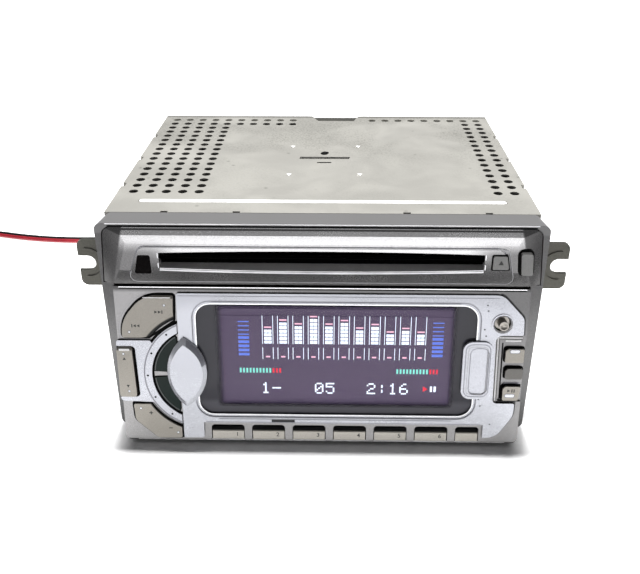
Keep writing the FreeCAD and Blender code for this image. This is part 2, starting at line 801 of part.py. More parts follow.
seek_points = [(-82.7, 50.2), (-71.9, 50.2), (-61.2, 57.6), (-60.6, 68.8), (-73.2, 68.8), (-82.7, 57.5)]
level_points = [(-85.6, 22.8), (-78.4, 22.8), (-79.2, 45.8), (-85.6, 45.8)]
band_points = [(-79.9, 11.6), (-70.6, 3.0), (-60.2, 3.0), (-60.2, 9.6), (-71.6, 19.2), (-80.3, 19.2)]
right_keys = {
    "source_button": [(76.9, 40.0), (84.6, 40.0), (84.6, 46.2), (76.9, 46.2)],
    "analyser_button": [(77.4, 32.4), (84.6, 32.4), (84.6, 37.2), (77.4, 37.2)],
    "play_button": [(77.0, 22.4), (83.6, 22.4), (84.4, 28.9), (77.0, 28.9)],
}
right_corners = [0.7, 0.7, 0.7, 1.6]
right_gap = 0.5
recess_points = [(75.1, 21.4), (90.0, 21.4), (90.0, 49.8), (74.6, 49.8)]


def preset_spans():
    spans = []
    for i in range(preset_count):
        x0 = preset_first_x + i * preset_pitch
        spans.append((x0, x0 + preset_width))
    x0 = preset_first_x + preset_count * preset_pitch
    spans.append((x0, x0 + preset_last_width))
    return spans


def ring_cut(radius, y0, y1):
    return rod((ring_x, y0, ring_z), (0, 1, 0), radius, y1 - y0)


def seek_shape(gap, y0, y1):
    body = slab(grown(seek_points, gap), [1.0, 0.3, 0.6, 0.8, 13.0, 15.0], y0, y1)
    return body.cut(ring_cut(27.4 - gap, y0, y1))


def band_shape(gap, y0, y1):
    body = slab(grown(band_points, gap), [4.0, 3.0, 0.8, 0.4, 0.4, 0.8], y0, y1)
    return body.cut(ring_cut(26.9 - gap, y0, y1))


def level_shape(gap, y0, y1):
    return slab(grown(level_points, gap), [1.2, 1.2, 1.2, 1.2], y0, y1)


def sound_shape(upper, gap, y0, y1):
    if upper:
        start, stop = 122.0 - gap * 3, 176.0 + gap * 3
    else:
        start, stop = 184.0 - gap * 3, 238.0 + gap * 3
    ring = sector(ring_x, ring_z, sound_inner - gap, sound_outer + gap, start, stop, y0, y1)
    return ring.common(box(-90, -60.4 + gap, y0, y1, 0, 80))


def panel_shell():
    block, outline = panel_block(0.0, 0.0, panel_back_y)
    solid = block.common(on_panel(outline))
    pivot = panel_point(0, pivot_in, pivot_up)
    sweep_radius = math.hypot(pivot_in, pivot_up) - (math.sqrt(2) - 1) * chin_round
    below = box(-100, 100, pivot[1] - 20, pivot[1] + 1.0, -20, pivot[2] - 1.0)
    rounding = rod((-100, pivot[1], pivot[2]), (1, 0, 0), sweep_radius, 200)
    solid = solid.cut(below.cut(rounding))
    inner, inner_outline = panel_block(panel_wall, panel_wall, panel_back_y + 5)
    hollow = inner.common(on_panel(inner_outline))
    solid = solid.cut(hollow)
    cheeks = []
    for sx in (-1, 1):
        inside = arm_x - 1.6
        for x0, x1 in ((inside - 1.8, inside), (arm_x + arm_thickness + 0.4, panel_half - 0.5)):
            cheek = box(min(sx * x0, sx * x1), max(sx * x0, sx * x1), pivot[1] - 3.2,
                        pivot[1] + 3.4, pivot[2] - 3.2, pivot[2] + 3.4)
            cheeks.append(cheek)
        pin_from = inside - 1.0
        pin_to = panel_half - 1.0
        start = pin_from if sx > 0 else -pin_to
        cheeks.append(rod((start, pivot[1], pivot[2]), (1, 0, 0), pin_diameter / 2.0,
                          pin_to - pin_from))
    keep = block.common(on_panel(outline)).cut(below.cut(rounding))
    cheeks = [c.common(keep) for c in cheeks]
    solid = fuse([solid] + cheeks)
    tools = []
    arm_gap = 0.35
    for sx in (-1, 1):
        x0 = arm_x - arm_gap
        x1 = arm_x + arm_thickness + arm_gap
        if sx < 0:
            x0, x1 = -x1, -x0
        well = rod((x0, pivot[1], pivot[2]), (1, 0, 0), arm_nose + 0.35, x1 - x0)
        under = box(x0, x1, pivot[1] - arm_nose - 0.35, pivot[1] + 16, -5, pivot[2])
        behind = box(x0, x1, pivot[1], panel_back_y + 1, pivot[2] - 6, pivot[2] + arm_nose + 0.35)
        relief = fuse([well, under, behind])
        pin = rod((x0 - 1, pivot[1], pivot[2]), (1, 0, 0), pin_diameter / 2.0, x1 - x0 + 2)
        tools.append(relief.cut(pin))
    face0, face1 = -4.0, panel_wall + 1.5
    openings = [slab(rect(glass_left - 0.4, glass_right + 0.4, glass_low - 0.4, glass_high + 0.4),
                     glass_corner, face0, face1),
                seek_shape(button_gap, face0, face1), band_shape(button_gap, face0, face1),
                level_shape(button_gap, face0, face1),
                sound_shape(True, button_gap, face0, face1),
                sound_shape(False, button_gap, face0, face1),
                rod((stick_x, face0, stick_z), (0, 1, 0), stick_well, face1 - face0)]
    recess_floor = 1.0
    openings.append(slab(recess_points, [1.0, 0, 0, 2.0], face0, recess_floor))
    for points in right_keys.values():
        openings.append(slab(grown(points, right_gap), right_corners, face0, face1))
    for x0, x1 in preset_spans():
        openings.append(slab(rect(x0 - button_gap, x1 + button_gap, preset_low - button_gap,
                                  preset_window_high), [0, 0, 1.6, 1.6], face0, face1 + 2))
    tools += [on_panel(o) for o in openings]
    solid = cut(solid, tools)
    lugs = [box(stick_x + sx * (lug_in + lug_out) / 2.0 - (lug_out - lug_in) / 2.0,
                stick_x + sx * (lug_in + lug_out) / 2.0 + (lug_out - lug_in) / 2.0,
                panel_wall - 0.1, stick_centre_in + 1.2, stick_z - 1.2, stick_z + 1.2)
            for sx in (-1, 1)]
    lugs += [rod((x, panel_wall - 0.1, z), (0, 1, 0), 1.6, board_in - panel_wall + 0.1)
             for x in (-56.3, 67.8) for z in (20.0, 47.0)]
    lug_bore = rod((stick_x - 9, stick_centre_in, stick_z), (1, 0, 0),
                   ear_radius + pin_clearance, 18)
    solid = fuse([solid] + [on_panel(lug) for lug in lugs]).cut(on_panel(lug_bore))
    add("panel_shell", solid)


def panel_back():
    block, outline = panel_block(panel_wall + 0.15, panel_wall + 0.15, panel_back_y)
    inside = block.common(on_panel(outline))
    layer = box(-100, 100, panel_back_y - panel_back_wall, panel_back_y, 0, 100)
    plate = inside.common(layer)
    pivot = panel_point(0, pivot_in, pivot_up)
    tools = []
    for sx in (-1, 1):
        x0 = arm_x - 0.8
        x1 = arm_x + arm_thickness + 0.8
        if sx < 0:
            x0, x1 = -x1, -x0
        tools.append(box(x0, x1, panel_back_y - 4, panel_back_y + 1, 0, pivot[2] + arm_nose + 0.9))
    add("panel_back", cut(plate, tools))


# Parts on the panel's face
boss_points = ((-57.3, 50.6), (-48.1, 33.8), (-57.3, 18.4), (-64.8, 34.8))


def boss_outline(points, y):
    top, right, low, left = [vec(x, y, z) for x, z in points]
    return Part.Wire([Part.Arc(top, right, low).toShape(), Part.Arc(low, left, top).toShape()])


def boss_solid(y0, y1):
    return Part.Face(boss_outline(boss_points, y0)).extrude(vec(0, y1 - y0, 0))


def boss_top(front):
    """Lens whose sides slope in towards its raised face."""
    top, right, low, left = boss_points
    slope = boss_slope
    inner = ((top[0], top[1] - 2.0 * slope), (right[0] - slope, right[1]),
             (low[0], low[1] + 2.0 * slope), (left[0] + slope, left[1]))
    return Part.makeLoft([boss_outline(boss_points, front - boss_step),
                          boss_outline(inner, front - boss_rise)], True, True)


plate_points = [(-59.4, 2.9), (-50.6, 2.9), (-50.6, 10.4), (69.8, 10.4), (69.8, 4.2), (75.6, 4.6),
                (82.2, 15.0), (82.4, 20.9), (73.0, 20.9), (72.3, 52.4), (83.7, 52.4),
                (83.3, 60.0), (74.0, 70.0), (-59.4, 69.8)]
plate_radii = [1.0, 1.0, 0, 0, 0, 7.0, 7.0, 0.8, 2.0, 3.0, 0.8, 4.0, 6.0, 1.0]
badge_outline = rect(59.1, 71.6, 23.5, 49.7)


def fascia_plate():
    front = -plate_raise
    plate = slab(plate_points, plate_radii, front, 0.0)
    boss = fuse([boss_solid(front - boss_step, 0.0), boss_top(front)])
    badge = slab(badge_outline, 4.0, front - 1.0, 0.0)
    badge = badge.cut(slab(rect(62.3, 69.8, 25.6, 46.7), 2.6, front - 2.0, front - 0.6))
    collar = rod((stick_x, front - collar_rise, stick_z), (0, 1, 0), stick_opening + 1.2, collar_rise)
    solid = fuse([plate, boss, badge, collar])
    rim = 1.6
    glass_hole = slab(rect(glass_left, glass_right, glass_low, glass_high), glass_corner,
                      front - 5, 1.0)
    keep = fuse([boss_solid(front - 6, 1.0), slab(badge_outline, 4.0, front - 6, 1.0)])
    glass_hole = glass_hole.cut(keep)
    shelf = slab(rect(glass_left - rim, glass_right + rim, glass_low - rim, glass_high + rim),
                 glass_corner + rim, front - 1, front + 0.35)
    shelf = shelf.cut(keep)
    hood = sector(ring_x, ring_z, ring_inner, ring_outer + 0.3, 100, 260, front - 5, 1.0)
    sound_well = sector(ring_x, ring_z, 14.2, ring_outer + 0.3, 100, 260, front - 5, 1.0)
    sound_well = sound_well.common(box(-90, -59.9, front - 6, 2, 0, 80)).cut(keep)
    tools = [glass_hole, shelf, hood.common(box(-90, -59.9, front - 6, 2, 0, 80)), sound_well,
             rod((stick_x, front - 2, stick_z), (0, 1, 0), stick_opening, 4),
             cone((stick_x, front - collar_rise - 0.1, stick_z), (0, 1, 0), stick_opening + 0.7,
                  stick_opening - 0.2, 1.0),
             slab(rect(-21.2, -11.2, 9.0, 12.2), 0, front - 1, front + 0.6)]
    tools += [sound_shape(upper, button_gap, -sound_proud - 0.35, 0.2) for upper in (True, False)]
    solid = cut(solid, tools)
    biggest = max(solid.Solids, key=lambda s: s.Volume)
    add("fascia_plate", on_panel(biggest))


def ring_trim():
    front = -plate_raise
    ring = sector(ring_x, ring_z, ring_inner, ring_outer, 112.0, 248.0, front, 0.0)
    ring = ring.common(box(-90, -59.9, front - 1, 1, 0, 80))
    frame_points = [(-85.6, 20.6), (-69.0, 19.9), (-66.0, 30.0), (-66.0, 40.0), (-71.5, 48.7),
                    (-85.6, 48.7)]
    frame = slab(frame_points, [1.5, 0, 0, 0, 0, 1.0], front, 0.0)
    frame = frame.cut(ring_cut(ring_inner, front - 1, 1))
    solid = fuse([ring, frame])
    right_low = level_points[1][0] + level_moat
    right_high = level_points[2][0] + level_moat
    solid = solid.cut(slab(grown([(-90, 22.8), (right_low, 22.8), (right_high, 45.8), (-90, 45.8)],
                                 button_gap), [0, 1.8, 1.8, 0], front - 1, 1))
    pips = []
    for degrees in (128.0, 155.0, 181.0, 207.0, 233.0):
        turn = math.radians(degrees)
        middle = (ring_inner + ring_outer) / 2.0
        pips.append(rod((ring_x + middle * math.cos(turn), front - 1,
                         ring_z + middle * math.sin(turn)), (0, 1, 0), 0.4, 1.3))
    add("ring_trim", on_panel(cut(solid, pips)))


def display_window():
    front = 0.1
    glass = slab(rect(glass_left + 0.1 - 0.3, glass_right - 0.1 + 0.3, glass_low - 0.2,
                      glass_high + 0.2), glass_corner, front, front + glass_thickness)
    add("display_window", on_panel(glass))


def display_module():
    back = 0.1 + glass_thickness + 0.2
    body = slab(rect(glass_left - 1.0, glass_right + 1.0, glass_low - 0.5, glass_high - 3.0), 0.5,
                back + 0.4, back + 3.6)
    lit = slab(rect(glass_left + 3.5, glass_right - 3.5, glass_low + 3.5, glass_high - 6.0), 0.3,
               back, back + 0.5)
    add("display_module", on_panel(fuse([body, lit])))


def panel_board():
    wide = panel_half - panel_wall - 2.0
    narrow = arm_x - 5.0
    outline = [(-narrow, 3.8), (narrow, 3.8), (narrow, 9.5), (wide, 9.5), (wide, 56.0),
               (-wide, 56.0), (-wide, 9.5), (-narrow, 9.5)]
    solid = slab(outline, [1.0, 1.0, 0, 1.0, 1.0, 1.0, 1.0, 0], board_in,
                 board_in + board_thickness)
    pads = [slab(rect(x - 2.2, x + 2.2, z - 2.2, z + 2.2), 0.5, board_in - 1.4, board_in)
            for x, z in ((-72.0, 52.0), (-72.0, 14.0), (80.0, 43.0), (80.0, 35.0), (80.0, 25.5))]
    sockets = box(-10.0, 14.0, board_in + board_thickness, board_in + board_thickness + 2.4, 20.0, 26.0)
    add("panel_board", on_panel(fuse([solid, sockets] + pads)))


# Keys of the flip panel
def keyed(name, cap, flange, stem_x, stem_z, stem_from, stem_to):
    stem = rod((stem_x, stem_from, stem_z), (0, 1, 0), 1.0, stem_to - stem_from)
    add(name, on_panel(fuse([cap, flange, stem])))


def pivot_ridge(pivot, outline):
    """Round ridge on a rocker's flange, on the line it tilts about, bearing on the wall."""
    x, z, degrees = pivot
    turn = math.radians(degrees)
    along = (math.cos(turn), 0.0, math.sin(turn))
    reach = 15.0
    start = (x - reach * along[0], panel_wall + rocker_play, z - reach * along[2])
    return rod(start, along, rocker_play - pin_clearance, 2 * reach).common(outline)


def top_bevel(x0, x1, top, front, width, depth):
    """Wedge that slopes the front of a key away towards its top edge."""
    side = [vec(x0, front - 0.1, top - width), vec(x0, front, top - width),
            vec(x0, front + depth, top), vec(x0, front + depth, top + 0.1),
            vec(x0, front - 0.1, top + 0.1)]
    return Part.Face(Part.makePolygon(side + [side[0]])).extrude(vec(x1 - x0, 0, 0))


def seek_rocker():
    back = panel_wall + rocker_play
    cap = seek_shape(0.0, -1.6, back)
    cap = cap.cut(cone((ring_x, -1.7, ring_z), (0, 1, 0), seek_slope_radius, 27.4, 1.7))
    cap = cap.cut(top_bevel(-73.0, -60.0, seek_points[3][1], -1.6, 1.2, 1.0))
    inside = panel_half - panel_wall - fit_gap
    room = box(-inside, 0, 0, 20, 0, panel_height - panel_wall - 1.0)
    flange = seek_shape(button_gap + 0.5, back, back + button_flange).common(room)
    outline = seek_shape(button_gap + 0.5, panel_wall, back + button_flange).common(room)
    flange = flange.fuse(pivot_ridge(seek_pivot, outline))
    keyed("seek_rocker", cap, flange, -74.0, 60.0, back + 0.6, back + 1.8)


def level_rocker():
    back = panel_wall + rocker_play
    cap = level_shape(0.0, -2.0, back)
    cap = cap.cut(top_bevel(-86.0, -78.0, level_points[2][1], -2.0, 1.3, 1.2))
    points = [(-83.0, 23.5), (-77.4, 23.5), (-78.2, 45.0), (-83.0, 45.0)]
    outline = slab(points, 0.6, panel_wall, back + button_flange)
    flange = slab(points, 0.6, back, back + button_flange)
    flange = flange.fuse(pivot_ridge(level_pivot, outline))
    keyed("level_rocker", cap, flange, -81.0, 34.0, back + 0.6, board_in - 0.4)


def band_rocker():
    back = panel_wall + rocker_play
    cap = band_shape(0.0, -1.6, back)
    points = [(-79.0, 12.5), (-71.0, 4.4), (-61.0, 4.4), (-61.0, 8.0), (-72.0, 18.4), (-79.0, 18.4)]
    outline = slab(points, 0.3, panel_wall, back + button_flange)
    flange = slab(points, 0.3, back, back + button_flange)
    flange = flange.fuse(pivot_ridge(band_pivot, outline))
    keyed("band_rocker", cap, flange, -70.5, 12.5, back + 0.6, board_in - 1.6)


def sound_button(name, upper):
    cap = sound_shape(upper, 0.0, -sound_proud, panel_wall + 0.4)
    flange = sound_shape(upper, 0.8, panel_wall + 0.4, panel_wall + 1.2)
    z = 43.0 if upper else 23.5
    keyed(name, cap, flange, -65.6, z, panel_wall + 1.0, board_in - key_travel - 0.2)


def right_button(name, points):
    cap = slab(points, right_corners, -1.2, panel_wall + 0.4)
    x0, z0 = points[0]
    z1 = points[3][1]
    flange = slab(rect(x0 - 1.0, 82.6, z0 - 1.0, z1 + 1.0), 0.5, panel_wall + 0.4, panel_wall + 1.2)
    keyed(name, cap, flange, 80.0, (z0 + z1) / 2.0, panel_wall + 1.0,
          board_in - 1.4 - key_travel - 0.1)


def preset_button(name, x0, x1):
    back = panel_wall + 0.4
    side = [(0.2, preset_low), (0.2, preset_high), (1.6, preset_high + 1.6),
            (back, preset_high + 1.6), (back, preset_low)]
    wire = Part.makePolygon([vec(x0, y, z) for y, z in side] + [vec(x0, side[0][0], side[0][1])])
    cap = Part.Face(wire).extrude(vec(x1 - x0, 0, 0))
    flange = box(x0 - 0.7, x1 + 0.7, back, back + 0.8, preset_low + 1.0, preset_window_high + 0.4)
    stem_to = board_in - preset_travel - 0.15
    stem = rod(((x0 + x1) / 2.0, back, 6.4), (0, 1, 0), 1.0, stem_to - back)
    add(name, on_panel(fuse([cap, flange, stem])))


# Two-axis stick: gimbal ring in the shell and a stick on the ring
def stick():
    centre_in = stick_centre_in
    ring = rod((stick_x, centre_in - 0.7, stick_z), (0, 1, 0), 3.4, 1.4)
    ring = ring.cut(rod((stick_x, centre_in - 1, stick_z), (0, 1, 0), 2.5, 3))
    ears = rod((stick_x - lug_out + 0.3, centre_in, stick_z), (1, 0, 0), ear_radius,
               2 * (lug_out - 0.3))
    ears = ears.cut(rod((stick_x, centre_in - 2, stick_z), (0, 1, 0), 2.6, 4))
    seats = rod((stick_x, centre_in, stick_z - 4), (0, 0, 1), cross_radius + pin_clearance, 8)
    add("stick_gimbal", on_panel(fuse([ring, ears]).cut(seats)))
    shaft = rod((stick_x, -stick_proud, stick_z), (0, 1, 0), stick_radius, stick_proud + 3.2)
    ball = Part.makeSphere(2.2, vec(stick_x, centre_in, stick_z))
    cross = rod((stick_x, centre_in, stick_z - 3.1), (0, 0, 1), cross_radius, 6.2)
    dimple = Part.makeSphere(2.6, vec(stick_x, -stick_proud - 2.1, stick_z))
    add("stick", on_panel(fuse([shaft, ball, cross]).cut(dimple)))


# Disc deck: plate with cheeks, rubber dampers, guide, roller, turntable, clamp and pickup
deck_top = deck_z + deck_sheet
cheek_top = arm_z + 4.0
damper_spots = [(sx * 54.0, y) for sx in (-1, 1) for y in (24.0, 112.0)]
drive_y = roller_y + gear_module * (roller_teeth + drive_teeth) / 2.0
roller_z = disc_z - 0.7 - roller_radius
rod_z = deck_top + 3.6
sled_x = -lens_inner


def disc_deck():
    plate = box(-deck_half, deck_half, deck_front_y, deck_back_y, deck_z, deck_top)
    cheeks = [box(-deck_half, -deck_half + deck_sheet, deck_front_y, deck_back_y, deck_z, cheek_top),
              box(deck_half - deck_sheet, deck_half, deck_front_y, deck_back_y, deck_z, cheek_top)]
    posts = []
    for y in (spindle_y - rod_spread, spindle_y + rod_spread):
        for x in (-66.0, -12.0):
            posts.append(box(x - 1.5, x + 1.5, y - 2.6, y + 2.6, deck_z, rod_z + 2.6))
    screw_post_y = spindle_y - screw_offset
    posts.append(box(-13.5, -10.5, screw_post_y - 2.4, screw_post_y + 1.5, deck_z, rod_z + 2.4))
    hinge_posts = [box(x, x + 2.0, arm_pivot_y - 2.6, arm_pivot_y + 2.6, deck_z, arm_z + 2.4)
                   for x in (-20.0, 18.0)]
    solid = fuse([plate] + cheeks + posts + hinge_posts)
    tools = [rod((-90, roller_y, roller_z), (1, 0, 0), roller_shaft_radius + run_clearance, 180),
             rod((deck_half - 4, drive_y, roller_z), (1, 0, 0), 2.4, 8),
             rod((0, spindle_y, deck_z - 1), (0, 0, 1), 3.0, 6),
             box(-62.5, -15.5, spindle_y - 12.2, spindle_y + 12.2, deck_z - 1, deck_top + 1),
             box(-60.0, 64.5, roller_y - 6.8, roller_y + 6.8, deck_z - 1, deck_top + 1),
             rod((-90, screw_post_y, rod_z), (1, 0, 0), 1.5 + run_clearance, 85),
             rod((-30, arm_pivot_y, arm_z), (1, 0, 0), 1.2 + run_clearance, 60)]
    for y in (spindle_y - rod_spread, spindle_y + rod_spread):
        tools.append(rod((-67.5, y, rod_z), (1, 0, 0), rod_radius, 57))
    for x, y in damper_spots:
        tools.append(rod((x, y, deck_z - 1), (0, 0, 1), 2.5, 4))
    for sx in (-1, 1):
        for y in (48.0, 92.0):
            tools.append(box(sx * deck_half - 3, sx * deck_half + 3, y, y + 18, deck_z + 5, deck_z + 14))
    add("disc_deck", cut(solid, tools))


def deck_dampers():
    low = bridge_top_z + deck_sheet
    dampers = []
    for x, y in damper_spots:
        body = rod((x, y, low), (0, 0, 1), 5.0, deck_z - low)
        neck = rod((x, y, deck_z - 0.1), (0, 0, 1), 2.4, deck_sheet + 0.2)
        cap = rod((x, y, deck_top + 0.05), (0, 0, 1), 4.0, 1.6)
        dampers.append(fuse([body, neck, cap]))
    add("deck_dampers", group(dampers))


def disc_guide():
    z0 = disc_z + 2.6
    inside = deck_half - deck_sheet
    plate = box(-inside, inside, deck_front_y + 2, deck_front_y + 26, z0, z0 + 1.2)
    runners = [box(sx * 57.0 - 4, sx * 57.0 + 4, deck_front_y + 2, deck_front_y + 26,
                   disc_z + 1.3, z0 + 0.1) for sx in (-1, 1)]
    hole = box(-30, 30, deck_front_y + 9, deck_front_y + 19, z0 - 1, z0 + 2)
    add("disc_guide", fuse([plate] + runners).cut(hole))


def deck_motors():
    spindle = rod((0, spindle_y, deck_z - 4.4), (0, 0, 1), 11.5, 4.2)
    shaft = rod((0, spindle_y, deck_z - 0.4), (0, 0, 1), spindle_radius, 9.6)
    spindle = fuse([spindle, shaft])
    x0 = deck_half
    loading = rod((x0, drive_y, roller_z), (1, 0, 0), 6.5, 15.0)
    nose = rod((x0 - deck_sheet - 0.2, drive_y, roller_z), (1, 0, 0), 2.3, 2.0)
    pin = rod((x0 - 7.0, drive_y, roller_z), (1, 0, 0), 1.0, 8.0)
    loading = fuse([loading, nose, pin])
    screw_y = spindle_y - screw_offset
    sled = rod((-deck_half - 14.0, screw_y, rod_z), (1, 0, 0), 6.0, 13.8)
    boss = rod((-deck_half - 0.3, screw_y, rod_z), (1, 0, 0), 2.8, 0.3)
    add("deck_motors", group([spindle, loading, fuse([sled, boss])]))


def loading_roller():
    shaft = rod((-deck_half - 1.0, roller_y, roller_z), (1, 0, 0), roller_shaft_radius,
                2 * deck_half + 1.6)
    sleeves = []
    for sx in (-1, 1):
        sleeves.append(cone((sx * 6.0, roller_y, roller_z), (sx, 0, 0), 3.3, roller_radius, 50.0))
    gear_x = deck_half - 6.2
    gear = spur(gear_module, roller_teeth, gear_width, roller_shaft_radius - 0.1, gear_x,
                roller_y, roller_z)
    add("loading_roller", fuse([shaft, gear] + sleeves))


def drive_gear():
    gear_x = deck_half - 6.2
    turn = math.pi / drive_teeth
    gear = spur(gear_module, drive_teeth, gear_width, 1.0 + run_clearance, gear_x, drive_y,
                roller_z, turn)
    add("drive_gear", gear)


def turntable():
    top = disc_z - 1.4
    plate = rod((0, spindle_y, top - 3.0), (0, 0, 1), 13.0, 3.0)
    hub = cone((0, spindle_y, top), (0, 0, 1), 7.4, 6.2, 2.0)
    bore = rod((0, spindle_y, top - 4), (0, 0, 1), spindle_radius + run_clearance, 8)
    add("turntable", fuse([plate, hub]).cut(bore))


puck_z = disc_z + 1.2


def clamp_arm():
    plate = box(-10.0, 10.0, spindle_y - 8.0, arm_pivot_y - 1.5, arm_z, arm_z + 1.2)
    tube = rod((-17.5, arm_pivot_y, arm_z), (1, 0, 0), 2.3, 35.0)
    web = box(-10.0, 10.0, arm_pivot_y - 10.0, arm_pivot_y, arm_z, arm_z + 1.2)
    pivot = rod((-21.0, arm_pivot_y, arm_z), (1, 0, 0), 1.2, 42.0)
    solid = fuse([plate, tube, web, pivot])
    solid = solid.cut(rod((0, spindle_y, arm_z - 1), (0, 0, 1), 3.0, 4))
    add("clamp_arm", solid)


def clamp_puck():
    disc = rod((0, spindle_y, puck_z), (0, 0, 1), 14.0, 2.2)
    neck = rod((0, spindle_y, puck_z + 2.0), (0, 0, 1), 2.7, arm_z + 2.0 - puck_z - 2.0)
    cap = rod((0, spindle_y, arm_z + 1.2 + 0.3), (0, 0, 1), 5.0, 1.0)
    cup = cone((0, spindle_y, puck_z - 0.2), (0, 0, 1), 6.4, 5.4, 1.2)
    add("clamp_puck", fuse([disc, neck, cap]).cut(cup))


def pickup():
    x = sled_x
    body = box(x - 10.0, x + 9.5, spindle_y - rod_spread - 3.0, spindle_y + rod_spread + 3.0,
               rod_z - 2.9, rod_z + 2.9)
    lower = box(x - 8.0, x + 8.5, spindle_y - 11.0, spindle_y + 11.0, deck_z - 2.8, rod_z)
    nut = box(x - 3.0, x + 3.0, spindle_y - screw_offset - 2.6, spindle_y - rod_spread,
              rod_z - 2.6, rod_z + 2.6)
    lens = rod((x, spindle_y, rod_z + 2.8), (0, 0, 1), 2.6, 1.0)
    solid = fuse([body, lower, nut, lens])
    tools = [rod((-90, y, rod_z), (1, 0, 0), rod_radius + run_clearance, 90)
             for y in (spindle_y - rod_spread, spindle_y + rod_spread)]
    tools.append(rod((-90, spindle_y - screw_offset, rod_z), (1, 0, 0), 1.5 + run_clearance, 90))
    tools.append(rod((0, spindle_y, deck_z - 5), (0, 0, 1), 14.0, 20))
    add("pickup", cut(solid, tools))


def guide_rods():
    rods = [rod((-67.4, y, rod_z), (1, 0, 0), rod_radius, 56.8)
            for y in (spindle_y - rod_spread, spindle_y + rod_spread)]
    add("guide_rods", group(rods))


def lead_screw():
    screw = rod((-deck_half + 0.2, spindle_y - screw_offset, rod_z), (1, 0, 0), 1.5, 57.0)
    grooves = []
    for i in range(12):
        x = -60.0 + i * 3.5
        outer = rod((x, spindle_y - screw_offset, rod_z), (1, 0, 0), 1.8, 0.8)
        inner = rod((x - 0.1, spindle_y - screw_offset, rod_z), (1, 0, 0), 1.2, 1.0)
        grooves.append(outer.cut(inner))
    add("lead_screw", cut(screw, grooves))


# Bridge that carries both decks, with the cartridge deck inside
def cartridge_deck():
    y0, y1 = deck_front_y, 120.0
    sheet = deck_sheet
    top = box(-bridge_half, bridge_half, y0, y1, bridge_top_z, bridge_top_z + sheet)
    walls = []
    for sx in (-1, 1):
        x0 = sx * bridge_half
        x1 = x0 - sx * sheet
        walls.append(box(min(x0, x1), max(x0, x1), y0, y1, tray_sheet, bridge_top_z + sheet))
        x2 = x0 + sx * 8.0
        walls.append(box(min(x0, x2), max(x0, x2), y0 + 20, y1 - 20, tray_sheet, tray_sheet + sheet))
    inner = []
    for sx in (-1, 1):
        x0 = sx * cartridge_half
        x1 = x0 + sx * sheet
        inner.append(box(min(x0, x1), max(x0, x1), y0 - 2, 86.0, cartridge_floor_z,
                         bridge_top_z + sheet / 2.0))
    floor = box(-cartridge_half, cartridge_half, y0 - 2, 86.0, cartridge_floor_z,
                cartridge_floor_z + sheet)
    back = box(-cartridge_half, cartridge_half, 86.0 - sheet, 86.0, cartridge_floor_z,
               bridge_top_z + sheet / 2.0)
    solid = fuse([top, floor, back] + walls + inner)
    tools = [rod((0, cartridge_spindle_y, cartridge_floor_z - 1), (0, 0, 1), 2.2, 4),
             box(-33.0, -9.0, cartridge_spindle_y - 7.0, cartridge_spindle_y + 7.0,
                 cartridge_floor_z - 1, cartridge_floor_z + 3),
             rod((0, spindle_y, bridge_top_z - 1), (0, 0, 1), 13.5, 4)]
    for sx in (-1, 1):
        for y in (30.0, 66.0):
            tools.append(box(sx * bridge_half - 3, sx * bridge_half + 3, y, y + 22, 14.0, 36.0))
    tools.append(box(-44.0, -12.0, spindle_y - 14.0, spindle_y + 14.0, bridge_top_z - 1,
                     bridge_top_z + 3))
    add("cartridge_deck", cut(solid, tools))


def cartridge_turntable():
    z = cartridge_floor_z + deck_sheet
    motor = rod((0, cartridge_spindle_y, z + 0.3), (0, 0, 1), 8.0, 3.0)
    hub = cone((0, cartridge_spindle_y, z + 3.2), (0, 0, 1), 5.0, 4.0, 2.0)
    shaft = rod((0, cartridge_spindle_y, cartridge_floor_z - 1.4), (0, 0, 1), 2.1, 4.0)
    add("cartridge_turntable", fuse([motor, hub, shaft]))


def cartridge_pickup():
    z = cartridge_floor_z
    body = box(-20.0, -10.0, cartridge_spindle_y - 6.0, cartridge_spindle_y + 6.0, z - 3.0, z + 3.0)
    flange = box(-21.0, -9.2, cartridge_spindle_y - 9.0, cartridge_spindle_y + 9.0,
                 z + deck_sheet + 0.3, z + deck_sheet + 2.0)
    lens = rod((-15.0, cartridge_spindle_y, z + 2.9), (0, 0, 1), 1.8, 1.4)
    add("cartridge_pickup", fuse([body, flange, lens]))


def main_board():
    solid = box(-board_half, board_half, board_front_y, board_back_y, board_z,
                board_z + board_sheet)
    holes = [rod((x, y, board_z - 1), (0, 0, 1), 1.25, 4) for x, y in board_posts]
    add("main_board", cut(solid, holes))


def board_components():
    z = board_z + board_sheet
    pieces = []
    for x, y, r, h in ((-44, 96, 8.0, 26), (-24, 100, 6.0, 20), (-44, 76, 5.0, 16), (-30, 80, 4.0, 12),
                       (48, 60, 4.0, 11), (48, 72, 4.0, 11), (36, 66, 3.0, 9), (-50, 40, 3.0, 9)):
        body = rod((x, y, z), (0, 0, 1), r, h)
        groove = rod((x, y, z + 1.6), (0, 0, 1), r + 1, 0.8).cut(
            rod((x, y, z + 1.5), (0, 0, 1), r - 0.5, 1.0))
        pieces.append(body.cut(groove))
    for x, y, w, d in ((0, 52, 18, 18), (26, 44, 12, 12), (-24, 50, 10, 14), (8, 84, 14, 14)):
        pieces.append(box(x - w / 2.0, x + w / 2.0, y - d / 2.0, y + d / 2.0, z, z + 2.2))
    choke = rod((-8, 108, z), (0, 0, 1), 9.0, 12).cut(rod((-8, 108, z - 1), (0, 0, 1), 4.0, 14))
    pieces.append(choke)
    chip_y = rear_inner_y - 2.0
    chip = box(-68.0, -38.0, chip_y - 4.4, chip_y, 22.0, 40.0)
    legs = [box(-66.0 + i * 2.0, -65.2 + i * 2.0, chip_y - 3.4, chip_y - 2.8, z, 22.2)
            for i in range(4, 14)]
    pieces.append(fuse([chip] + legs))
    fuse_body = box(fuse_x - fuse_half, fuse_x + fuse_half, rear_inner_y - 7.0,
                    chassis_depth + 2.4, fuse_z - fuse_half, fuse_z + fuse_half)
    pieces.append(fuse_body)
    add("board_components", group(pieces))


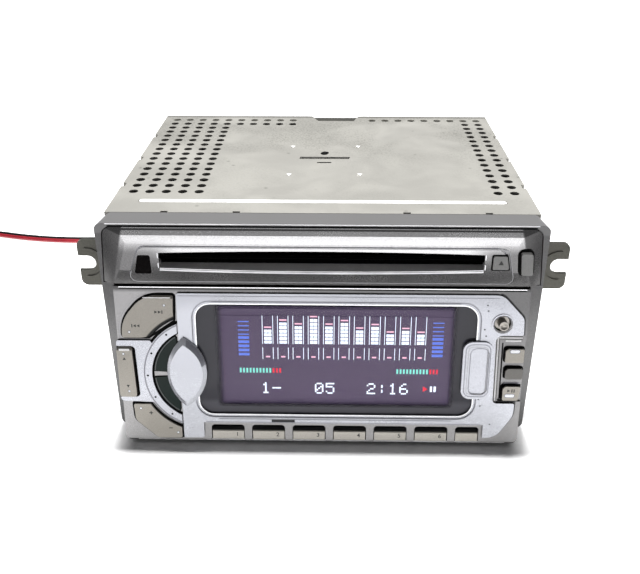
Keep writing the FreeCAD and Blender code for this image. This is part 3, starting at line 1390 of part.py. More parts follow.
def rear_sockets():
    pieces = []
    outer = box(harness_x - harness_width / 2.0, harness_x + harness_width / 2.0,
                rear_inner_y - 9.0, chassis_depth + 5.0, harness_z - harness_height / 2.0,
                harness_z + harness_height / 2.0)
    well = box(harness_x - harness_width / 2.0 + 1.6, harness_x + harness_width / 2.0 - 1.6,
               rear_inner_y - 4.0, chassis_depth + 6.0, harness_z - harness_height / 2.0 + 1.6,
               harness_z + harness_height / 2.0 - 1.6)
    pieces.append(outer.cut(well))
    tuner_back_y = rear_inner_y - 6.0
    barrel = rod((antenna_x, tuner_back_y - 0.5, antenna_z), (0, 1, 0), antenna_radius,
                 antenna_end_y - tuner_back_y + 0.5)
    flange = rod((antenna_x, chassis_depth, antenna_z), (0, 1, 0), 8.0, 1.2)
    can = box(bridge_half + 1.2, tray_half - tray_sheet - 0.8, tuner_front_y, tuner_back_y,
              tray_sheet, tuner_top_z)
    ribs = [box(bridge_half + 1.8, tray_half - tray_sheet - 1.4, tuner_front_y + i * 7.0 + 3.0,
                tuner_front_y + i * 7.0 + 4.0, tuner_top_z - 0.1, tuner_top_z + 0.4)
            for i in range(4)]
    bore = rod((antenna_x, rear_inner_y + 1.0, antenna_z), (0, 1, 0), antenna_bore_radius, 14.0)
    pieces.append(fuse([barrel, flange, can] + ribs).cut(bore))
    for x in line_x:
        ring = rod((x, rear_inner_y - 4.0, line_z), (0, 1, 0), line_radius, 13.0)
        collar = rod((x, chassis_depth, line_z), (0, 1, 0), 6.0, 1.6)
        bore = rod((x, chassis_depth, line_z), (0, 1, 0), 1.6, 12.0)
        pieces.append(fuse([ring, collar]).cut(bore))
    add("rear_sockets", group(pieces))


# Power lead: plug in the rear socket, two wires that run left along the table, and two coils
def route(points):
    """Wire path through points with the largest arcs that its runs allow, and its radii."""
    vectors = [vec(*p) for p in points]
    edges = []
    radii = []
    at = vectors[0]
    for i in range(1, len(vectors) - 1):
        here = vectors[i]
        back = vectors[i - 1] - here
        ahead = vectors[i + 1] - here
        shorter = min(back.Length, ahead.Length)
        turn = math.pi - back.getAngle(ahead)
        radius = 0.45 * shorter / math.tan(turn / 2.0)
        reach = 0.45 * shorter
        into = here + back.normalize() * reach
        out = here + ahead.normalize() * reach
        middle = (back + ahead).normalize()
        centre = here + middle * (radius / math.cos(turn / 2.0))
        edges.append(Part.LineSegment(at, into).toShape())
        edges.append(Part.Arc(into, centre - middle * radius, out).toShape())
        radii.append(round(radius, 1))
        at = out
    edges.append(Part.LineSegment(at, vectors[-1]).toShape())
    return Part.Wire(edges), radii


def tube(wire, diameter):
    start = wire.Edges[0]
    along = start.tangentAt(start.FirstParameter)
    profile = Part.Wire([Part.makeCircle(diameter / 2.0, start.valueAt(start.FirstParameter), along)])
    return wire.makePipeShell([profile], True, False)


lead_exit_y = chassis_depth + 5.0 + plug_length - 4.0
wire_z = wire_diameter / 2.0 + 0.1
coil_step = 2 * wire_spacing
coil_upper_z = wire_z + wire_diameter + coil_layer_gap
red_points = [(18.0, lead_exit_y, 18.0), (18.0, lead_exit_y + 10.0, 18.0),
              (13.5, lead_exit_y + 21.5, 16.2), (3.5, lead_exit_y + 29.5, 12.6),
              (-10.0, lead_exit_y + 33.5, 8.2), (-26.0, 192.5, 4.4), (-46.0, 191.3, 2.0),
              (-72.0, 189.0, wire_z), (-102.0, 185.6, wire_z), (-132.0, 182.8, wire_z),
              (-158.0, 181.0, wire_z), (-182.0, 181.3, wire_z), (-205.0, 184.7, wire_z),
              (-228.0, 190.9, wire_z), (-251.0, coil_top_y, wire_z),
              (coil_x, coil_top_y, wire_z)]
black_points = [(21.2, lead_exit_y, 18.0), (21.2, lead_exit_y + 10.7, 18.0),
                (16.1, lead_exit_y + 23.4, 16.2), (4.9, lead_exit_y + 32.4, 12.6),
                (-9.5, lead_exit_y + 36.7, 8.2), (-26.1, 195.7, 4.4), (-46.3, 194.5, 2.0),
                (-72.3, 192.2, wire_z), (-102.3, 188.8, wire_z), (-132.2, 186.0, wire_z),
                (-158.0, 184.2, wire_z), (-181.8, 184.5, wire_z), (-204.3, 187.8, wire_z),
                (-227.3, 194.0, wire_z), (-250.7, coil_top_y + wire_spacing, wire_z),
                (coil_x, coil_top_y + wire_spacing, wire_z)]


def coil_wire(offset):
    """Half-turn arcs that spiral in on the table, climb a layer and spiral out again."""
    edges = []
    centre_to = coil_top_y - coil_inner_radius - coil_turns * coil_step

    def half_turn(middle_y, radius, far_side, low, high):
        sign = -1 if far_side else 1
        start = vec(coil_x, middle_y + sign * radius, low)
        end = vec(coil_x, middle_y - sign * radius, high)
        middle = vec(coil_x - sign * math.hypot(radius, (high - low) / 2.0), middle_y,
                     (low + high) / 2.0)
        edges.append(Part.Arc(start, middle, end).toShape())

    radius = coil_inner_radius + coil_turns * coil_step + offset
    for _ in range(coil_turns):
        half_turn(centre_to, radius, False, wire_z, wire_z)
        half_turn(centre_to - coil_step / 2.0, radius - coil_step / 2.0, True, wire_z, wire_z)
        radius -= coil_step
    half_turn(centre_to, radius, False, wire_z, coil_upper_z)
    for _ in range(coil_turns):
        half_turn(centre_to + coil_step / 2.0, radius + coil_step / 2.0, True,
                  coil_upper_z, coil_upper_z)
        radius += coil_step
        half_turn(centre_to, radius, False, coil_upper_z, coil_upper_z)
    return Part.Wire(edges)


def power_leads():
    for name, points in (("red_lead", red_points), ("black_lead", black_points)):
        wire, radii = route(points)
        solid = tube(wire, wire_diameter)
        expected = math.pi * wire_diameter ** 2 / 4.0 * wire.Length
        print(name, "radii", radii, "volume share", round(solid.Volume / expected, 4))
        add(name, solid)


def lead_coil():
    wires = [coil_wire(offset) for offset in (0.0, wire_spacing)]
    sampled = [wire.discretize(Distance=2.0) for wire in wires]
    print("coil length", round(wires[0].Length, 1), "least gap", round(least_gap(sampled), 2))
    add("lead_coil", group([tube(wire, wire_diameter) for wire in wires]))


def least_gap(lines):
    """Smallest clear distance between turns, measured on points of the centrelines."""
    tagged = [(line, i, p) for line, points in enumerate(lines) for i, p in enumerate(points)]
    reach = 10
    gaps = [a[2].distanceToPoint(b[2]) for n, a in enumerate(tagged) for b in tagged[n + 1:]
            if a[0] != b[0] or b[1] - a[1] > reach]
    return min(gaps) - wire_diameter


def harness_plug():
    y0 = chassis_depth - tray_sheet
    inner_w = harness_width - 2 * 1.6 - 2 * sheet_gap
    inner_h = harness_height - 2 * 1.6 - 2 * sheet_gap
    nose = box(harness_x - inner_w / 2.0, harness_x + inner_w / 2.0, y0, chassis_depth + 6.0,
               harness_z - inner_h / 2.0, harness_z + inner_h / 2.0)
    body = box(harness_x - harness_width / 2.0 + 0.5, harness_x + harness_width / 2.0 - 0.5,
               chassis_depth + 5.2, lead_exit_y, harness_z - inner_h / 2.0 - 0.8,
               harness_z + inner_h / 2.0 + 0.8)
    latch = box(harness_x - 5.0, harness_x + 5.0, chassis_depth + 6.0, lead_exit_y - 3.0,
                harness_z + inner_h / 2.0 + 0.7, harness_z + inner_h / 2.0 + 2.4)
    add("harness_plug", fuse([nose, body, latch]))


def build():
    chassis_tray()
    top_cover()
    rear_panel()
    heat_sink()
    side_brackets()
    case_screws()
    front_frame()
    disc_fascia()
    sensor_window()
    dust_curtain()
    fascia_button("eject_button", eject_outline, 0.5, 0.6)
    fascia_button("release_button", release_outline, 1.3, 0.8)
    sub_panel()
    cartridge_door()
    panel_shell()
    panel_back()
    fascia_plate()
    ring_trim()
    display_window()
    display_module()
    panel_board()
    seek_rocker()
    level_rocker()
    band_rocker()
    sound_button("upper_sound_button", True)
    sound_button("lower_sound_button", False)
    for name, points in right_keys.items():
        right_button(name, points)
    for number, (x0, x1) in enumerate(preset_spans(), start=1):
        preset_button("preset_button_%d" % number, x0, x1)
    stick()
    disc_deck()
    deck_dampers()
    disc_guide()
    deck_motors()
    loading_roller()
    drive_gear()
    turntable()
    clamp_arm()
    clamp_puck()
    pickup()
    guide_rods()
    lead_screw()
    cartridge_deck()
    cartridge_turntable()
    cartridge_pickup()
    main_board()
    board_components()
    rear_sockets()
    harness_plug()
    power_leads()
    lead_coil()


build()
cords = ("harness_plug", "red_lead", "black_lead", "lead_coil")
extents = [shape.BoundBox for name, shape in parts.items() if name not in cords]
centre_y = (min(b.YMin for b in extents) + max(b.YMax for b in extents)) / 2.0
os.makedirs("parts", exist_ok=True)
for name, shape in parts.items():
    shape.translate(vec(0, -centre_y, 0))
    shape.exportStep("parts/%s.step" % name)
    print(name, len(shape.Solids), shape.isValid(), round(shape.Volume, 1))
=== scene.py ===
import bpy, bmesh, json, math
from mathutils import Matrix, Vector


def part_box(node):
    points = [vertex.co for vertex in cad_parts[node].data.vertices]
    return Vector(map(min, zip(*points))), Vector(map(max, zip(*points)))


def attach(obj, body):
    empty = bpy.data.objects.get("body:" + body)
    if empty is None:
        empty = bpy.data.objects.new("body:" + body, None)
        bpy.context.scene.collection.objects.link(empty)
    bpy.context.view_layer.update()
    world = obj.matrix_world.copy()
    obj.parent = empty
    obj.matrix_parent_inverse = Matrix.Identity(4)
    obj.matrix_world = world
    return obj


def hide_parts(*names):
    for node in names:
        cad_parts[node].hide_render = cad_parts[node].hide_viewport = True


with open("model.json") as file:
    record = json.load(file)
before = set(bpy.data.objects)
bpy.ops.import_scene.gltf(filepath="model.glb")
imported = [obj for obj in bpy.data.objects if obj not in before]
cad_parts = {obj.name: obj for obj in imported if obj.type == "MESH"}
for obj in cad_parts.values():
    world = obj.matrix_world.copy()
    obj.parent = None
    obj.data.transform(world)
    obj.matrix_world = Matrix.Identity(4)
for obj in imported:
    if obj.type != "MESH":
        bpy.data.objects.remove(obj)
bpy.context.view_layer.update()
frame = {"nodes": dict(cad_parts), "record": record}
nodes = frame["nodes"]

# Sizes repeated from the part's source, in millimetres
PANEL_RAKE = math.radians(8.75)
CHIN_Y, CHIN_Z = -25.3, 1.8
RING_X, RING_Z = -50.0, 33.0
GLASS = (-51.8, 64.3, 14.6, 65.0)
STICK_X, STICK_Z = 74.7, 57.4
PLATE_FRONT = -1.2
PRESET_FIRST, PRESET_PITCH = -47.2, 17.62
MM = 0.001
FRONT_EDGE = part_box("top_cover")[0].y


def unit(x, y, z):
    """A point given in the drawing's millimetres, in the scene's metres."""
    return Vector((x * MM, y * MM + FRONT_EDGE, z * MM))


def panel(x, inward, up):
    """A point given on the raked face of the flip panel."""
    y = CHIN_Y + inward * math.cos(PANEL_RAKE) + up * math.sin(PANEL_RAKE)
    z = CHIN_Z - inward * math.sin(PANEL_RAKE) + up * math.cos(PANEL_RAKE)
    return unit(x, y, z)


# Camera
def make_camera():
    data = bpy.data.cameras.new("camera")
    data.sensor_width = 36.0
    data.lens = 44.134
    camera = bpy.data.objects.new("camera", data)
    bpy.context.scene.collection.objects.link(camera)
    pitch, yaw, roll = 0.497, -0.019, -0.001
    ahead = Vector((math.sin(yaw) * math.cos(pitch), math.cos(yaw) * math.cos(pitch), -math.sin(pitch)))
    level = Vector((math.cos(yaw), -math.sin(yaw), 0.0))
    top = level.cross(ahead)
    side = level * math.cos(roll) + top * math.sin(roll)
    top = top * math.cos(roll) - level * math.sin(roll)
    turn = Matrix((side, top, -ahead)).transposed()
    camera.matrix_world = Matrix.Translation(unit(4.865, -294.751, 225.768)) @ turn.to_4x4()
    bpy.context.scene.camera = camera


make_camera()


# Shader nodes as Python expressions
class Signal:
    """One output of a shader node."""

    def __init__(self, finish, socket):
        self.finish = finish
        self.socket = socket

    def maths(self, operation, *terms):
        return self.finish.make("ShaderNodeMath", {"operation": operation}, dict(enumerate(terms)))

    def __add__(self, other):
        return self.maths("ADD", self, other)

    def __sub__(self, other):
        return self.maths("SUBTRACT", self, other)

    def __rsub__(self, other):
        return self.maths("SUBTRACT", other, self)

    def __mul__(self, other):
        return self.maths("MULTIPLY", self, other)

    def __pow__(self, other):
        return self.maths("POWER", self, other)

    def __abs__(self):
        return self.maths("ABSOLUTE", self)

    def __gt__(self, other):
        return self.maths("GREATER_THAN", self, other)

    def __lt__(self, other):
        return self.maths("LESS_THAN", self, other)

    def higher_of(self, other):
        return self.maths("MAXIMUM", self, other)

    def eased(self, start, end, low=0.0, high=1.0):
        """Runs smoothly from low to high while the signal goes from start to end."""
        return self.finish.make("ShaderNodeMapRange", {"interpolation_type": "SMOOTHSTEP"},
                                {"Value": self, "From Min": start, "From Max": end,
                                 "To Min": low, "To Max": high})

    def spread(self, start, end, low=0.0, high=1.0):
        return self.finish.make("ShaderNodeMapRange", {},
                                {"Value": self, "From Min": start, "From Max": end,
                                 "To Min": low, "To Max": high})

    __radd__ = __add__
    __rmul__ = __mul__


class Finish:
    """A material and the nodes that make it."""

    def __init__(self, name, **fixed):
        self.material = bpy.data.materials.new(name)
        self.material.use_nodes = True
        self.tree = self.material.node_tree
        self.shader = self.tree.nodes["Principled BSDF"]
        self.put(**fixed)

    def make(self, kind, settings, sockets, out=0):
        node = self.tree.nodes.new(kind)
        for key, value in settings.items():
            setattr(node, key, value)
        for key, value in sockets.items():
            self.join(node.inputs[key], value)
        return Signal(self, node.outputs[out])

    def join(self, socket, value):
        if isinstance(value, Signal):
            self.tree.links.new(value.socket, socket)
        elif socket.type == "RGBA" and len(value) == 3:
            socket.default_value = (*value, 1.0)
        else:
            socket.default_value = value

    def put(self, **sockets):
        """Sets or joins sockets of the shader; the name's underscores stand for spaces."""
        for key, value in sockets.items():
            self.join(self.shader.inputs[key.replace("_", " ")], value)
        return self

    def place(self):
        return self.make("ShaderNodeTexCoord", {}, {}, "Object")

    def axes(self):
        vector = self.place()
        return [self.make("ShaderNodeSeparateXYZ", {}, {0: vector}, axis) for axis in "XYZ"]

    def panel_axes(self):
        """Across, up and inward on the flip panel's face, in millimetres."""
        x, y, z = self.axes()
        start = unit(0.0, CHIN_Y, CHIN_Z)
        y = (y - start.y) * 1000.0
        z = (z - start.z) * 1000.0
        up = y * math.sin(PANEL_RAKE) + z * math.cos(PANEL_RAKE)
        inward = y * math.cos(PANEL_RAKE) - z * math.sin(PANEL_RAKE)
        return x * 1000.0, up, inward

    def noise(self, size, detail=2.0, roughness=0.5, distortion=0.0):
        """Noise whose spots are about size millimetres wide."""
        return self.make("ShaderNodeTexNoise", {}, {"Vector": self.place(), "Scale": 1000.0 / size,
                                                    "Detail": detail, "Roughness": roughness,
                                                    "Distortion": distortion})

    def cells(self, size):
        """Distance to the nearest of scattered points that lie about size millimetres apart."""
        return self.make("ShaderNodeTexVoronoi", {}, {"Vector": self.place(), "Scale": 1000.0 / size},
                         "Distance")

    def mix(self, share, first, second, blend="MIX"):
        """A colour between two colours."""
        return self.make("ShaderNodeMix", {"data_type": "RGBA", "blend_type": blend},
                         {0: share, 6: first, 7: second}, 2)

    def bump(self, height, depth):
        """Turns a height from 0 to 1 into relief of that many millimetres."""
        return self.make("ShaderNodeBump", {}, {"Height": height, "Distance": depth * MM, "Strength": 1.0},
                         "Normal")


def shade(colour, factor):
    return tuple(min(1.0, channel * factor) for channel in colour)


def surface(name, colour, rough, metallic=0.0, grain=0.4, depth=0.01, tone=0.08, blotch=14.0,
            blotch_tone=0.08, rough_swing=0.08, **fixed):
    """A finish with fine grain, broad blotches and uneven gloss."""
    made = Finish(name, Metallic=metallic, **fixed)
    fine = made.noise(grain, 3.0, 0.6)
    broad = made.noise(blotch, 4.0, 0.55, distortion=0.4)
    grey = made.mix(fine.spread(0.3, 0.7), shade(colour, 1.0 - tone), shade(colour, 1.0 + tone))
    worn = made.mix(broad.eased(0.35, 0.68), (1.0 - blotch_tone,) * 3, (1.0 + blotch_tone,) * 3)
    full = made.mix(1.0, grey, worn, "MULTIPLY")
    made.put(Base_Color=full)
    made.put(Roughness=(fine * 0.4 + broad * 0.6).spread(0.3, 0.7, rough - rough_swing, rough + rough_swing))
    made.put(Normal=made.bump(fine, depth))
    made.colour = full
    made.fine = fine
    made.broad = broad
    return made


finishes = {
    "tray_steel": surface("tray_steel", (0.50, 0.50, 0.47), 0.34, 0.85, grain=0.8, depth=0.004),
    "bracket_steel": surface("bracket_steel", (0.085, 0.083, 0.070), 0.42, 0.6, grain=0.6, tone=0.15,
                             depth=0.006),
    "screw_steel": surface("screw_steel", (0.52, 0.51, 0.48), 0.28, 0.95, grain=0.5, depth=0.003),
    "cast_aluminium": surface("cast_aluminium", (0.48, 0.49, 0.50), 0.45, 0.8, grain=0.5, depth=0.03),
    "silver_paint": surface("silver_paint", (0.30, 0.295, 0.295), 0.30, 0.85, grain=0.3, tone=0.22,
                            depth=0.008, blotch=30.0, blotch_tone=0.03),
    "key_dark": surface("key_dark", (0.006, 0.016, 0.013), 0.2, 0.0, grain=0.5, depth=0.001,
                        Specular_IOR_Level=0.15),
    "black_plastic": surface("black_plastic", (0.018, 0.018, 0.019), 0.5, grain=0.3, depth=0.01),
    "sensor_black": surface("sensor_black", (0.006, 0.005, 0.005), 0.1, grain=1.0, depth=0.0005,
                            Specular_IOR_Level=0.3),
    "circuit_green": surface("circuit_green", (0.03, 0.12, 0.045), 0.3, grain=2.5, depth=0.006, tone=0.2),
    "part_black": surface("part_black", (0.02, 0.02, 0.022), 0.38, grain=0.4, depth=0.008),
    "deck_steel": surface("deck_steel", (0.56, 0.56, 0.56), 0.3, 0.9, grain=0.8, depth=0.003),
    "rod_steel": surface("rod_steel", (0.7, 0.7, 0.7), 0.14, 1.0, grain=0.4, depth=0.001),
    "roller_rubber": surface("roller_rubber", (0.025, 0.025, 0.025), 0.7, grain=0.5, depth=0.01),
    "damper_rubber": surface("damper_rubber", (0.05, 0.04, 0.06), 0.65, grain=0.5, depth=0.01),
    "gear_nylon": surface("gear_nylon", (0.68, 0.65, 0.56), 0.4, grain=0.5, depth=0.004),
    "curtain_felt": surface("curtain_felt", (0.004, 0.004, 0.004), 0.9, grain=0.15, depth=0.05),
    "plug_white": surface("plug_white", (0.66, 0.64, 0.57), 0.42, grain=0.5, depth=0.004),
}
# gap_black is the black of liners and fills that paint the shade in gaps, slots and holes.
finishes["gap_black"] = surface("gap_black", (0.004, 0.004, 0.004), 0.8, grain=0.3, depth=0.001,
                                Specular_IOR_Level=0.1)
# facet_grey paints the reflection on the boss's polished facets.
finishes["facet_grey"] = surface("facet_grey", (0.24, 0.24, 0.27), 0.25, 0.3, grain=0.5, depth=0.001,
                                 tone=0.1)
finishes["stick_chrome"] = surface("stick_chrome", (0.34, 0.32, 0.29), 0.32, 0.9, grain=0.4, depth=0.002)
# Trim colours: bright_edge, white_edge, lip_bright and chin_silver paint highlights; rim_grey, line_grey,
# sound_rim and ink colour thin lines, many of which paint shade.
for name, colour, rough, metallic, grain, tone in (
        ("ink", (0.02, 0.02, 0.02), 0.5, 0.0, 0.3, 0.08),
        ("bright_edge", (0.86, 0.86, 0.87), 0.22, 0.8, 0.4, 0.03),
        ("white_edge", (0.92, 0.92, 0.91), 0.35, 0.0, 0.4, 0.02),
        ("lip_bright", (0.95, 0.95, 0.96), 0.42, 0.95, 0.4, 0.03),
        ("chin_silver", (0.88, 0.88, 0.89), 0.4, 0.2, 0.4, 0.03),
        ("rim_grey", (0.38, 0.38, 0.39), 0.35, 0.2, 0.4, 0.05),
        ("line_grey", (0.20, 0.20, 0.22), 0.35, 0.6, 0.4, 0.05),
        ("sound_rim", (0.07, 0.078, 0.078), 0.35, 0.2, 0.4, 0.05)):
    finishes[name] = surface(name, colour, rough, metallic, grain=grain, depth=0.001, tone=tone)
GAP_SHADE_BLACK = (0.006, 0.006, 0.006)


# Painted shade: finishes that turn black where they go down into a gap
def painted_gap_shade(made, shade_mask):
    return made.put(Base_Color=made.mix(shade_mask, made.colour, GAP_SHADE_BLACK))


def key_finish(name, start, colour=(0.31, 0.29, 0.255)):
    """Champagne keys, with painted shade from a depth on, where their sides go down into the gaps."""
    made = surface(name, colour, 0.36, 0.45, grain=0.3, tone=0.14, depth=0.006, blotch=20.0, blotch_tone=0.03)
    x, up, inward = made.panel_axes()
    return painted_gap_shade(made, inward.eased(start, start + 0.4))


def silver_finish(name, colour, rough, depth=0.008):
    return surface(name, colour, rough, 0.9, grain=0.3, tone=0.22, depth=depth, blotch=30.0, blotch_tone=0.03,
                   rough_swing=0.04)


def panel_paint_finish():
    """Silver, with painted shade along the top and in the right upper corner, and black painted shade in the
    wells of the controls.
    """
    made = silver_finish("panel_paint", (0.27, 0.265, 0.265), 0.30)
    x, up, inward = made.panel_axes()
    inside = (abs(x) < 84.3) * (up > 1.0) * (up < 70.8)
    start = (x > 73.0) * 0.7 + 0.45
    # Painted shade towards the right upper corner and a painted shadow under the top edge.
    corner_shade = x.eased(64.0, 76.0) * up.eased(40.0, 66.0, 0.25, 0.62)
    edge = up.eased(69.4, 71.5, 0.0, 0.8)
    shaded = made.mix(corner_shade.higher_of(edge), made.colour, (0.03, 0.03, 0.03))
    return made.put(Base_Color=made.mix(inside * (inward > start), shaded, GAP_SHADE_BLACK))


def fascia_paint_finish():
    """Bright above the slot with painted shade below it and on the end facets, painted shade lines along the
    top, a paler tone painted as light on the slot's lip and black painted shade inside the slot.
    """
    made = silver_finish("fascia_paint", (0.54, 0.535, 0.535), 0.26, 0.003)
    x, y, z = made.axes()
    side = abs(x) * 1000.0 + (z * 1000.0 - 73.9) * 0.225
    end_facet_shade = side.eased(84.3, 85.4)
    ends = abs(x).eased(0.056, 0.070)
    z = z * 1000.0
    # Painted shade, darker downward below the slot, from higher up at the ends.
    low = made.mix(ends, z.eased(82.0, 90.5, 1.0, 0.0), z.eased(87.5, 94.5, 1.0, 0.0))
    painted_tone = made.mix(low, made.colour, (0.18, 0.177, 0.177))
    painted_tone = made.mix(end_facet_shade, painted_tone, (0.10, 0.098, 0.098))
    # Painted shade: a dark line of the groove along the top and a black line of the gap under the frame.
    painted_tone = made.mix((z > 97.2) * (z < 97.9), painted_tone, (0.10, 0.10, 0.10))
    painted_tone = made.mix(z > 98.3, painted_tone, (0.02, 0.02, 0.02))
    # A paler non-metal tone painted as light on the slot's lip, and black painted shade inside the slot.
    lip_light = (abs(x) < 0.0655) * (z > 80.4) * (z < 84.0) * (y > unit(0.0, -13.9, 0.0).y)
    wells = (abs(x) < 0.0795) * (z < 91.5) * (y > unit(0.0, -12.3, 0.0).y)
    shade_mask = (y > unit(0.0, -9.2, 0.0).y).higher_of(1.0 - lip_light) * wells
    painted_tone = made.mix(lip_light, painted_tone, (0.60, 0.59, 0.59))
    made.put(Metallic=lip_light.spread(0.0, 1.0, 0.9, 0.1))
    return made.put(Base_Color=made.mix(shade_mask, painted_tone, GAP_SHADE_BLACK))


def frame_paint_finish():
    """Silver, with painted shade towards the foot and a painted highlight on the top face."""
    made = silver_finish("frame_paint", (0.155, 0.153, 0.153), 0.32)
    x, y, z = made.axes()
    # Painted highlight on the top face and painted shade towards the foot.
    top = z.eased(0.0952, 0.0962)
    low = z.eased(0.02, 0.07, 0.45, 0.0)
    made.colour = made.mix(low, made.colour, (0.06, 0.06, 0.06))
    return made.put(Base_Color=made.mix(top, made.colour, (0.215, 0.212, 0.212)),
                    Metallic=top.spread(0.0, 1.0, 0.9, 0.35))


def white_silver_finish():
    """The plate's pale silver, with painted shade along its top and in its openings, but not round the stick.
    """
    made = surface("white_silver", (0.53, 0.54, 0.58), 0.26, 0.45, grain=0.2, tone=0.05,
                   depth=0.002, blotch=30.0, blotch_tone=0.02)
    x, up, inward = made.panel_axes()
    aside = ((x - STICK_X) * (x - STICK_X) + (up - STICK_Z) * (up - STICK_Z)).eased(20.0, 30.0)
    # Painted shade along the plate's top.
    made.colour = made.mix(up.eased(60.0, 68.5, 0.0, 0.4), made.colour, (0.25, 0.255, 0.275))
    return painted_gap_shade(made, inward.eased(-0.85, -0.55) * aside)


finishes["key_beige"] = key_finish("key_beige", -0.9)
# A lighter copy of the champagne for the preset keys, with light painted into it.
finishes["key_beige_painted_light"] = key_finish("key_beige_painted_light", 0.3, (0.50, 0.475, 0.425))
finishes["key_beige_side"] = key_finish("key_beige_side", -0.5)
finishes["key_silver"] = silver_finish("key_silver", (0.25, 0.248, 0.242), 0.34)
finishes["key_grey"] = key_finish("key_grey", -0.5, (0.13, 0.125, 0.115))
finishes["panel_paint"] = panel_paint_finish()
finishes["fascia_paint"] = fascia_paint_finish()
finishes["frame_paint"] = frame_paint_finish()
finishes["white_silver"] = white_silver_finish()


# Top cover: galvanised sheet, stained and speckled, with painted shade along its rolled rear edge
def cover_finish():
    made = surface("cover_steel", (0.43, 0.42, 0.385), 0.42, 0.35, grain=0.5, tone=0.04,
                   depth=0.004, blotch=26.0, blotch_tone=0.06, rough_swing=0.06)
    x, y, z = made.axes()
    specks = made.noise(1.1, 4.0, 0.75).eased(0.48, 0.62)
    cloud = made.noise(34.0, 3.0, 0.5, distortion=0.6).eased(0.38, 0.6)
    rear = y.eased(unit(0.0, 55.0, 0.0).y, unit(0.0, 100.0, 0.0).y, 0.12, 0.62)
    stains_and_rim_shade = made.mix(specks * cloud * rear, made.colour, (0.11, 0.108, 0.095))
    stains_and_rim_shade = made.mix(cloud * rear * 0.35, stains_and_rim_shade, (0.26, 0.255, 0.225))
    # Painted shade along the rolled rear edge.
    rim_shade = y.eased(unit(0.0, 134.4, 0.0).y, unit(0.0, 135.4, 0.0).y, 0.0, 0.6)
    stains_and_rim_shade = made.mix(rim_shade, stains_and_rim_shade, (0.10, 0.098, 0.088))
    drops = made.cells(13.0).spread(0.0, 0.09, 1.0, 0.0)
    dotted = made.mix(drops.higher_of(0.0) * 0.7, stains_and_rim_shade, (0.12, 0.12, 0.10))
    return made.put(Base_Color=dotted)


finishes["cover_steel"] = cover_finish()


def glass_finish():
    """Clear over the display, with a dark border."""
    made = Finish("display_glass", Roughness=0.06, Metallic=0.0, Specular_IOR_Level=0.22)
    x, up, inward = made.panel_axes()
    left = x.eased(-45.0, -40.8)
    right = x.eased(53.5, 57.0, 1.0, 0.0)
    low = up.eased(17.2, 19.8)
    clear = left * right * low
    border = made.mix(up.eased(19.0, 22.0), (0.085, 0.083, 0.098), (0.045, 0.044, 0.054))
    made.put(Base_Color=made.mix(clear, border, (0.03, 0.025, 0.035)))
    made.put(Alpha=1.0 - clear * 0.88)
    return made


def field_finish():
    made = surface("display_face", (0.11, 0.075, 0.135), 0.5, grain=1.2, tone=0.06, blotch=25.0, depth=0.002)
    glow = made.mix(made.broad, (0.105, 0.078, 0.16), (0.13, 0.10, 0.185))
    made.put(Emission_Color=glow, Emission_Strength=0.45)
    return made


finishes["display_glass"] = glass_finish()
finishes["display_face"] = field_finish()
finishes["red_wire"] = surface("red_wire", (0.30, 0.012, 0.022), 0.36, grain=0.8, depth=0.004, tone=0.06)
finishes["black_wire"] = surface("black_wire", (0.008, 0.008, 0.009), 0.34, grain=0.8, depth=0.004, tone=0.1)


# The record's slot of each node gives its finish, and a few nodes get a closer one
for part in frame["record"]["subparts"]:
    nodes[part["node"]].material_slots[0].material = finishes[part["material_slot"]].material
closer = {"front_frame": "frame_paint", "disc_fascia": "fascia_paint", "panel_shell": "panel_paint",
          "release_button": "key_silver", "eject_button": "key_silver", "stick": "stick_chrome",
          "source_button": "key_beige_side", "play_button": "key_beige_side", "analyser_button": "key_grey"}
# The preset keys take the lighter copy, with light painted into it.
closer.update({"preset_button_%d" % i: "key_beige_painted_light" for i in range(1, 8)})
for name, finish in closer.items():
    nodes[name].material_slots[0].material = finishes[finish].material


# Mesh making
slot_names = [material["slot"] for material in frame["record"]["materials"]]


def rounded(points, radii, steps=6):
    """A flat outline with each corner rounded by its radius."""
    out = []
    count = len(points)
    for i, here in enumerate(points):
        radius = radii[i] if isinstance(radii, (list, tuple)) else radii
        here = Vector(here)
        if radius <= 0:
            out.append(tuple(here))
            continue
        before = (Vector(points[i - 1]) - here).normalized()
        after = (Vector(points[(i + 1) % count]) - here).normalized()
        half = before.angle(after) / 2.0
        back = radius / math.tan(half)
        centre = here + (before + after).normalized() * (radius / math.sin(half))
        start = here + before * back - centre
        turn = start.angle_signed(here + after * back - centre)
        for k in range(steps + 1):
            angle = -turn * k / steps
            out.append((centre.x + start.x * math.cos(angle) - start.y * math.sin(angle),
                        centre.y + start.x * math.sin(angle) + start.y * math.cos(angle)))
    return out


def rect(x0, x1, z0, z1):
    return [(x0, z0), (x1, z0), (x1, z1), (x0, z1)]


def circle(x, z, radius, count):
    turns = [2 * math.pi * k / count for k in range(count)]
    return [(x + radius * math.cos(turn), z + radius * math.sin(turn)) for turn in turns]


def solid(name, points, faces, finish, body="flip_panel", bevel=0.0):
    """A mesh piece in scene metres that rides on a body."""
    mesh = bpy.data.meshes.new(name)
    mesh.from_pydata([tuple(p) for p in points], [], faces)
    work = bmesh.new()
    work.from_mesh(mesh)
    bmesh.ops.recalc_face_normals(work, faces=work.faces)
    work.to_mesh(mesh)
    work.free()
    made = bpy.data.objects.new(name, mesh)
    bpy.context.scene.collection.objects.link(made)
    mesh.materials.append(finishes[finish].material)
    finish in slot_names
    if bevel:
        soften(made, bevel)
    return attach(made, body)


def soften(thing, width, segments=3, angle=35.0):
    """Rounds the sharp edges of a piece by a width in millimetres."""
    modifier = thing.modifiers.new("rounded_edges", "BEVEL")
    modifier.width = width * MM
    modifier.segments = segments
    modifier.limit_method = "ANGLE"
    modifier.angle_limit = math.radians(angle)
    modifier.use_clamp_overlap = True
    modifier.harden_normals = False
    return thing


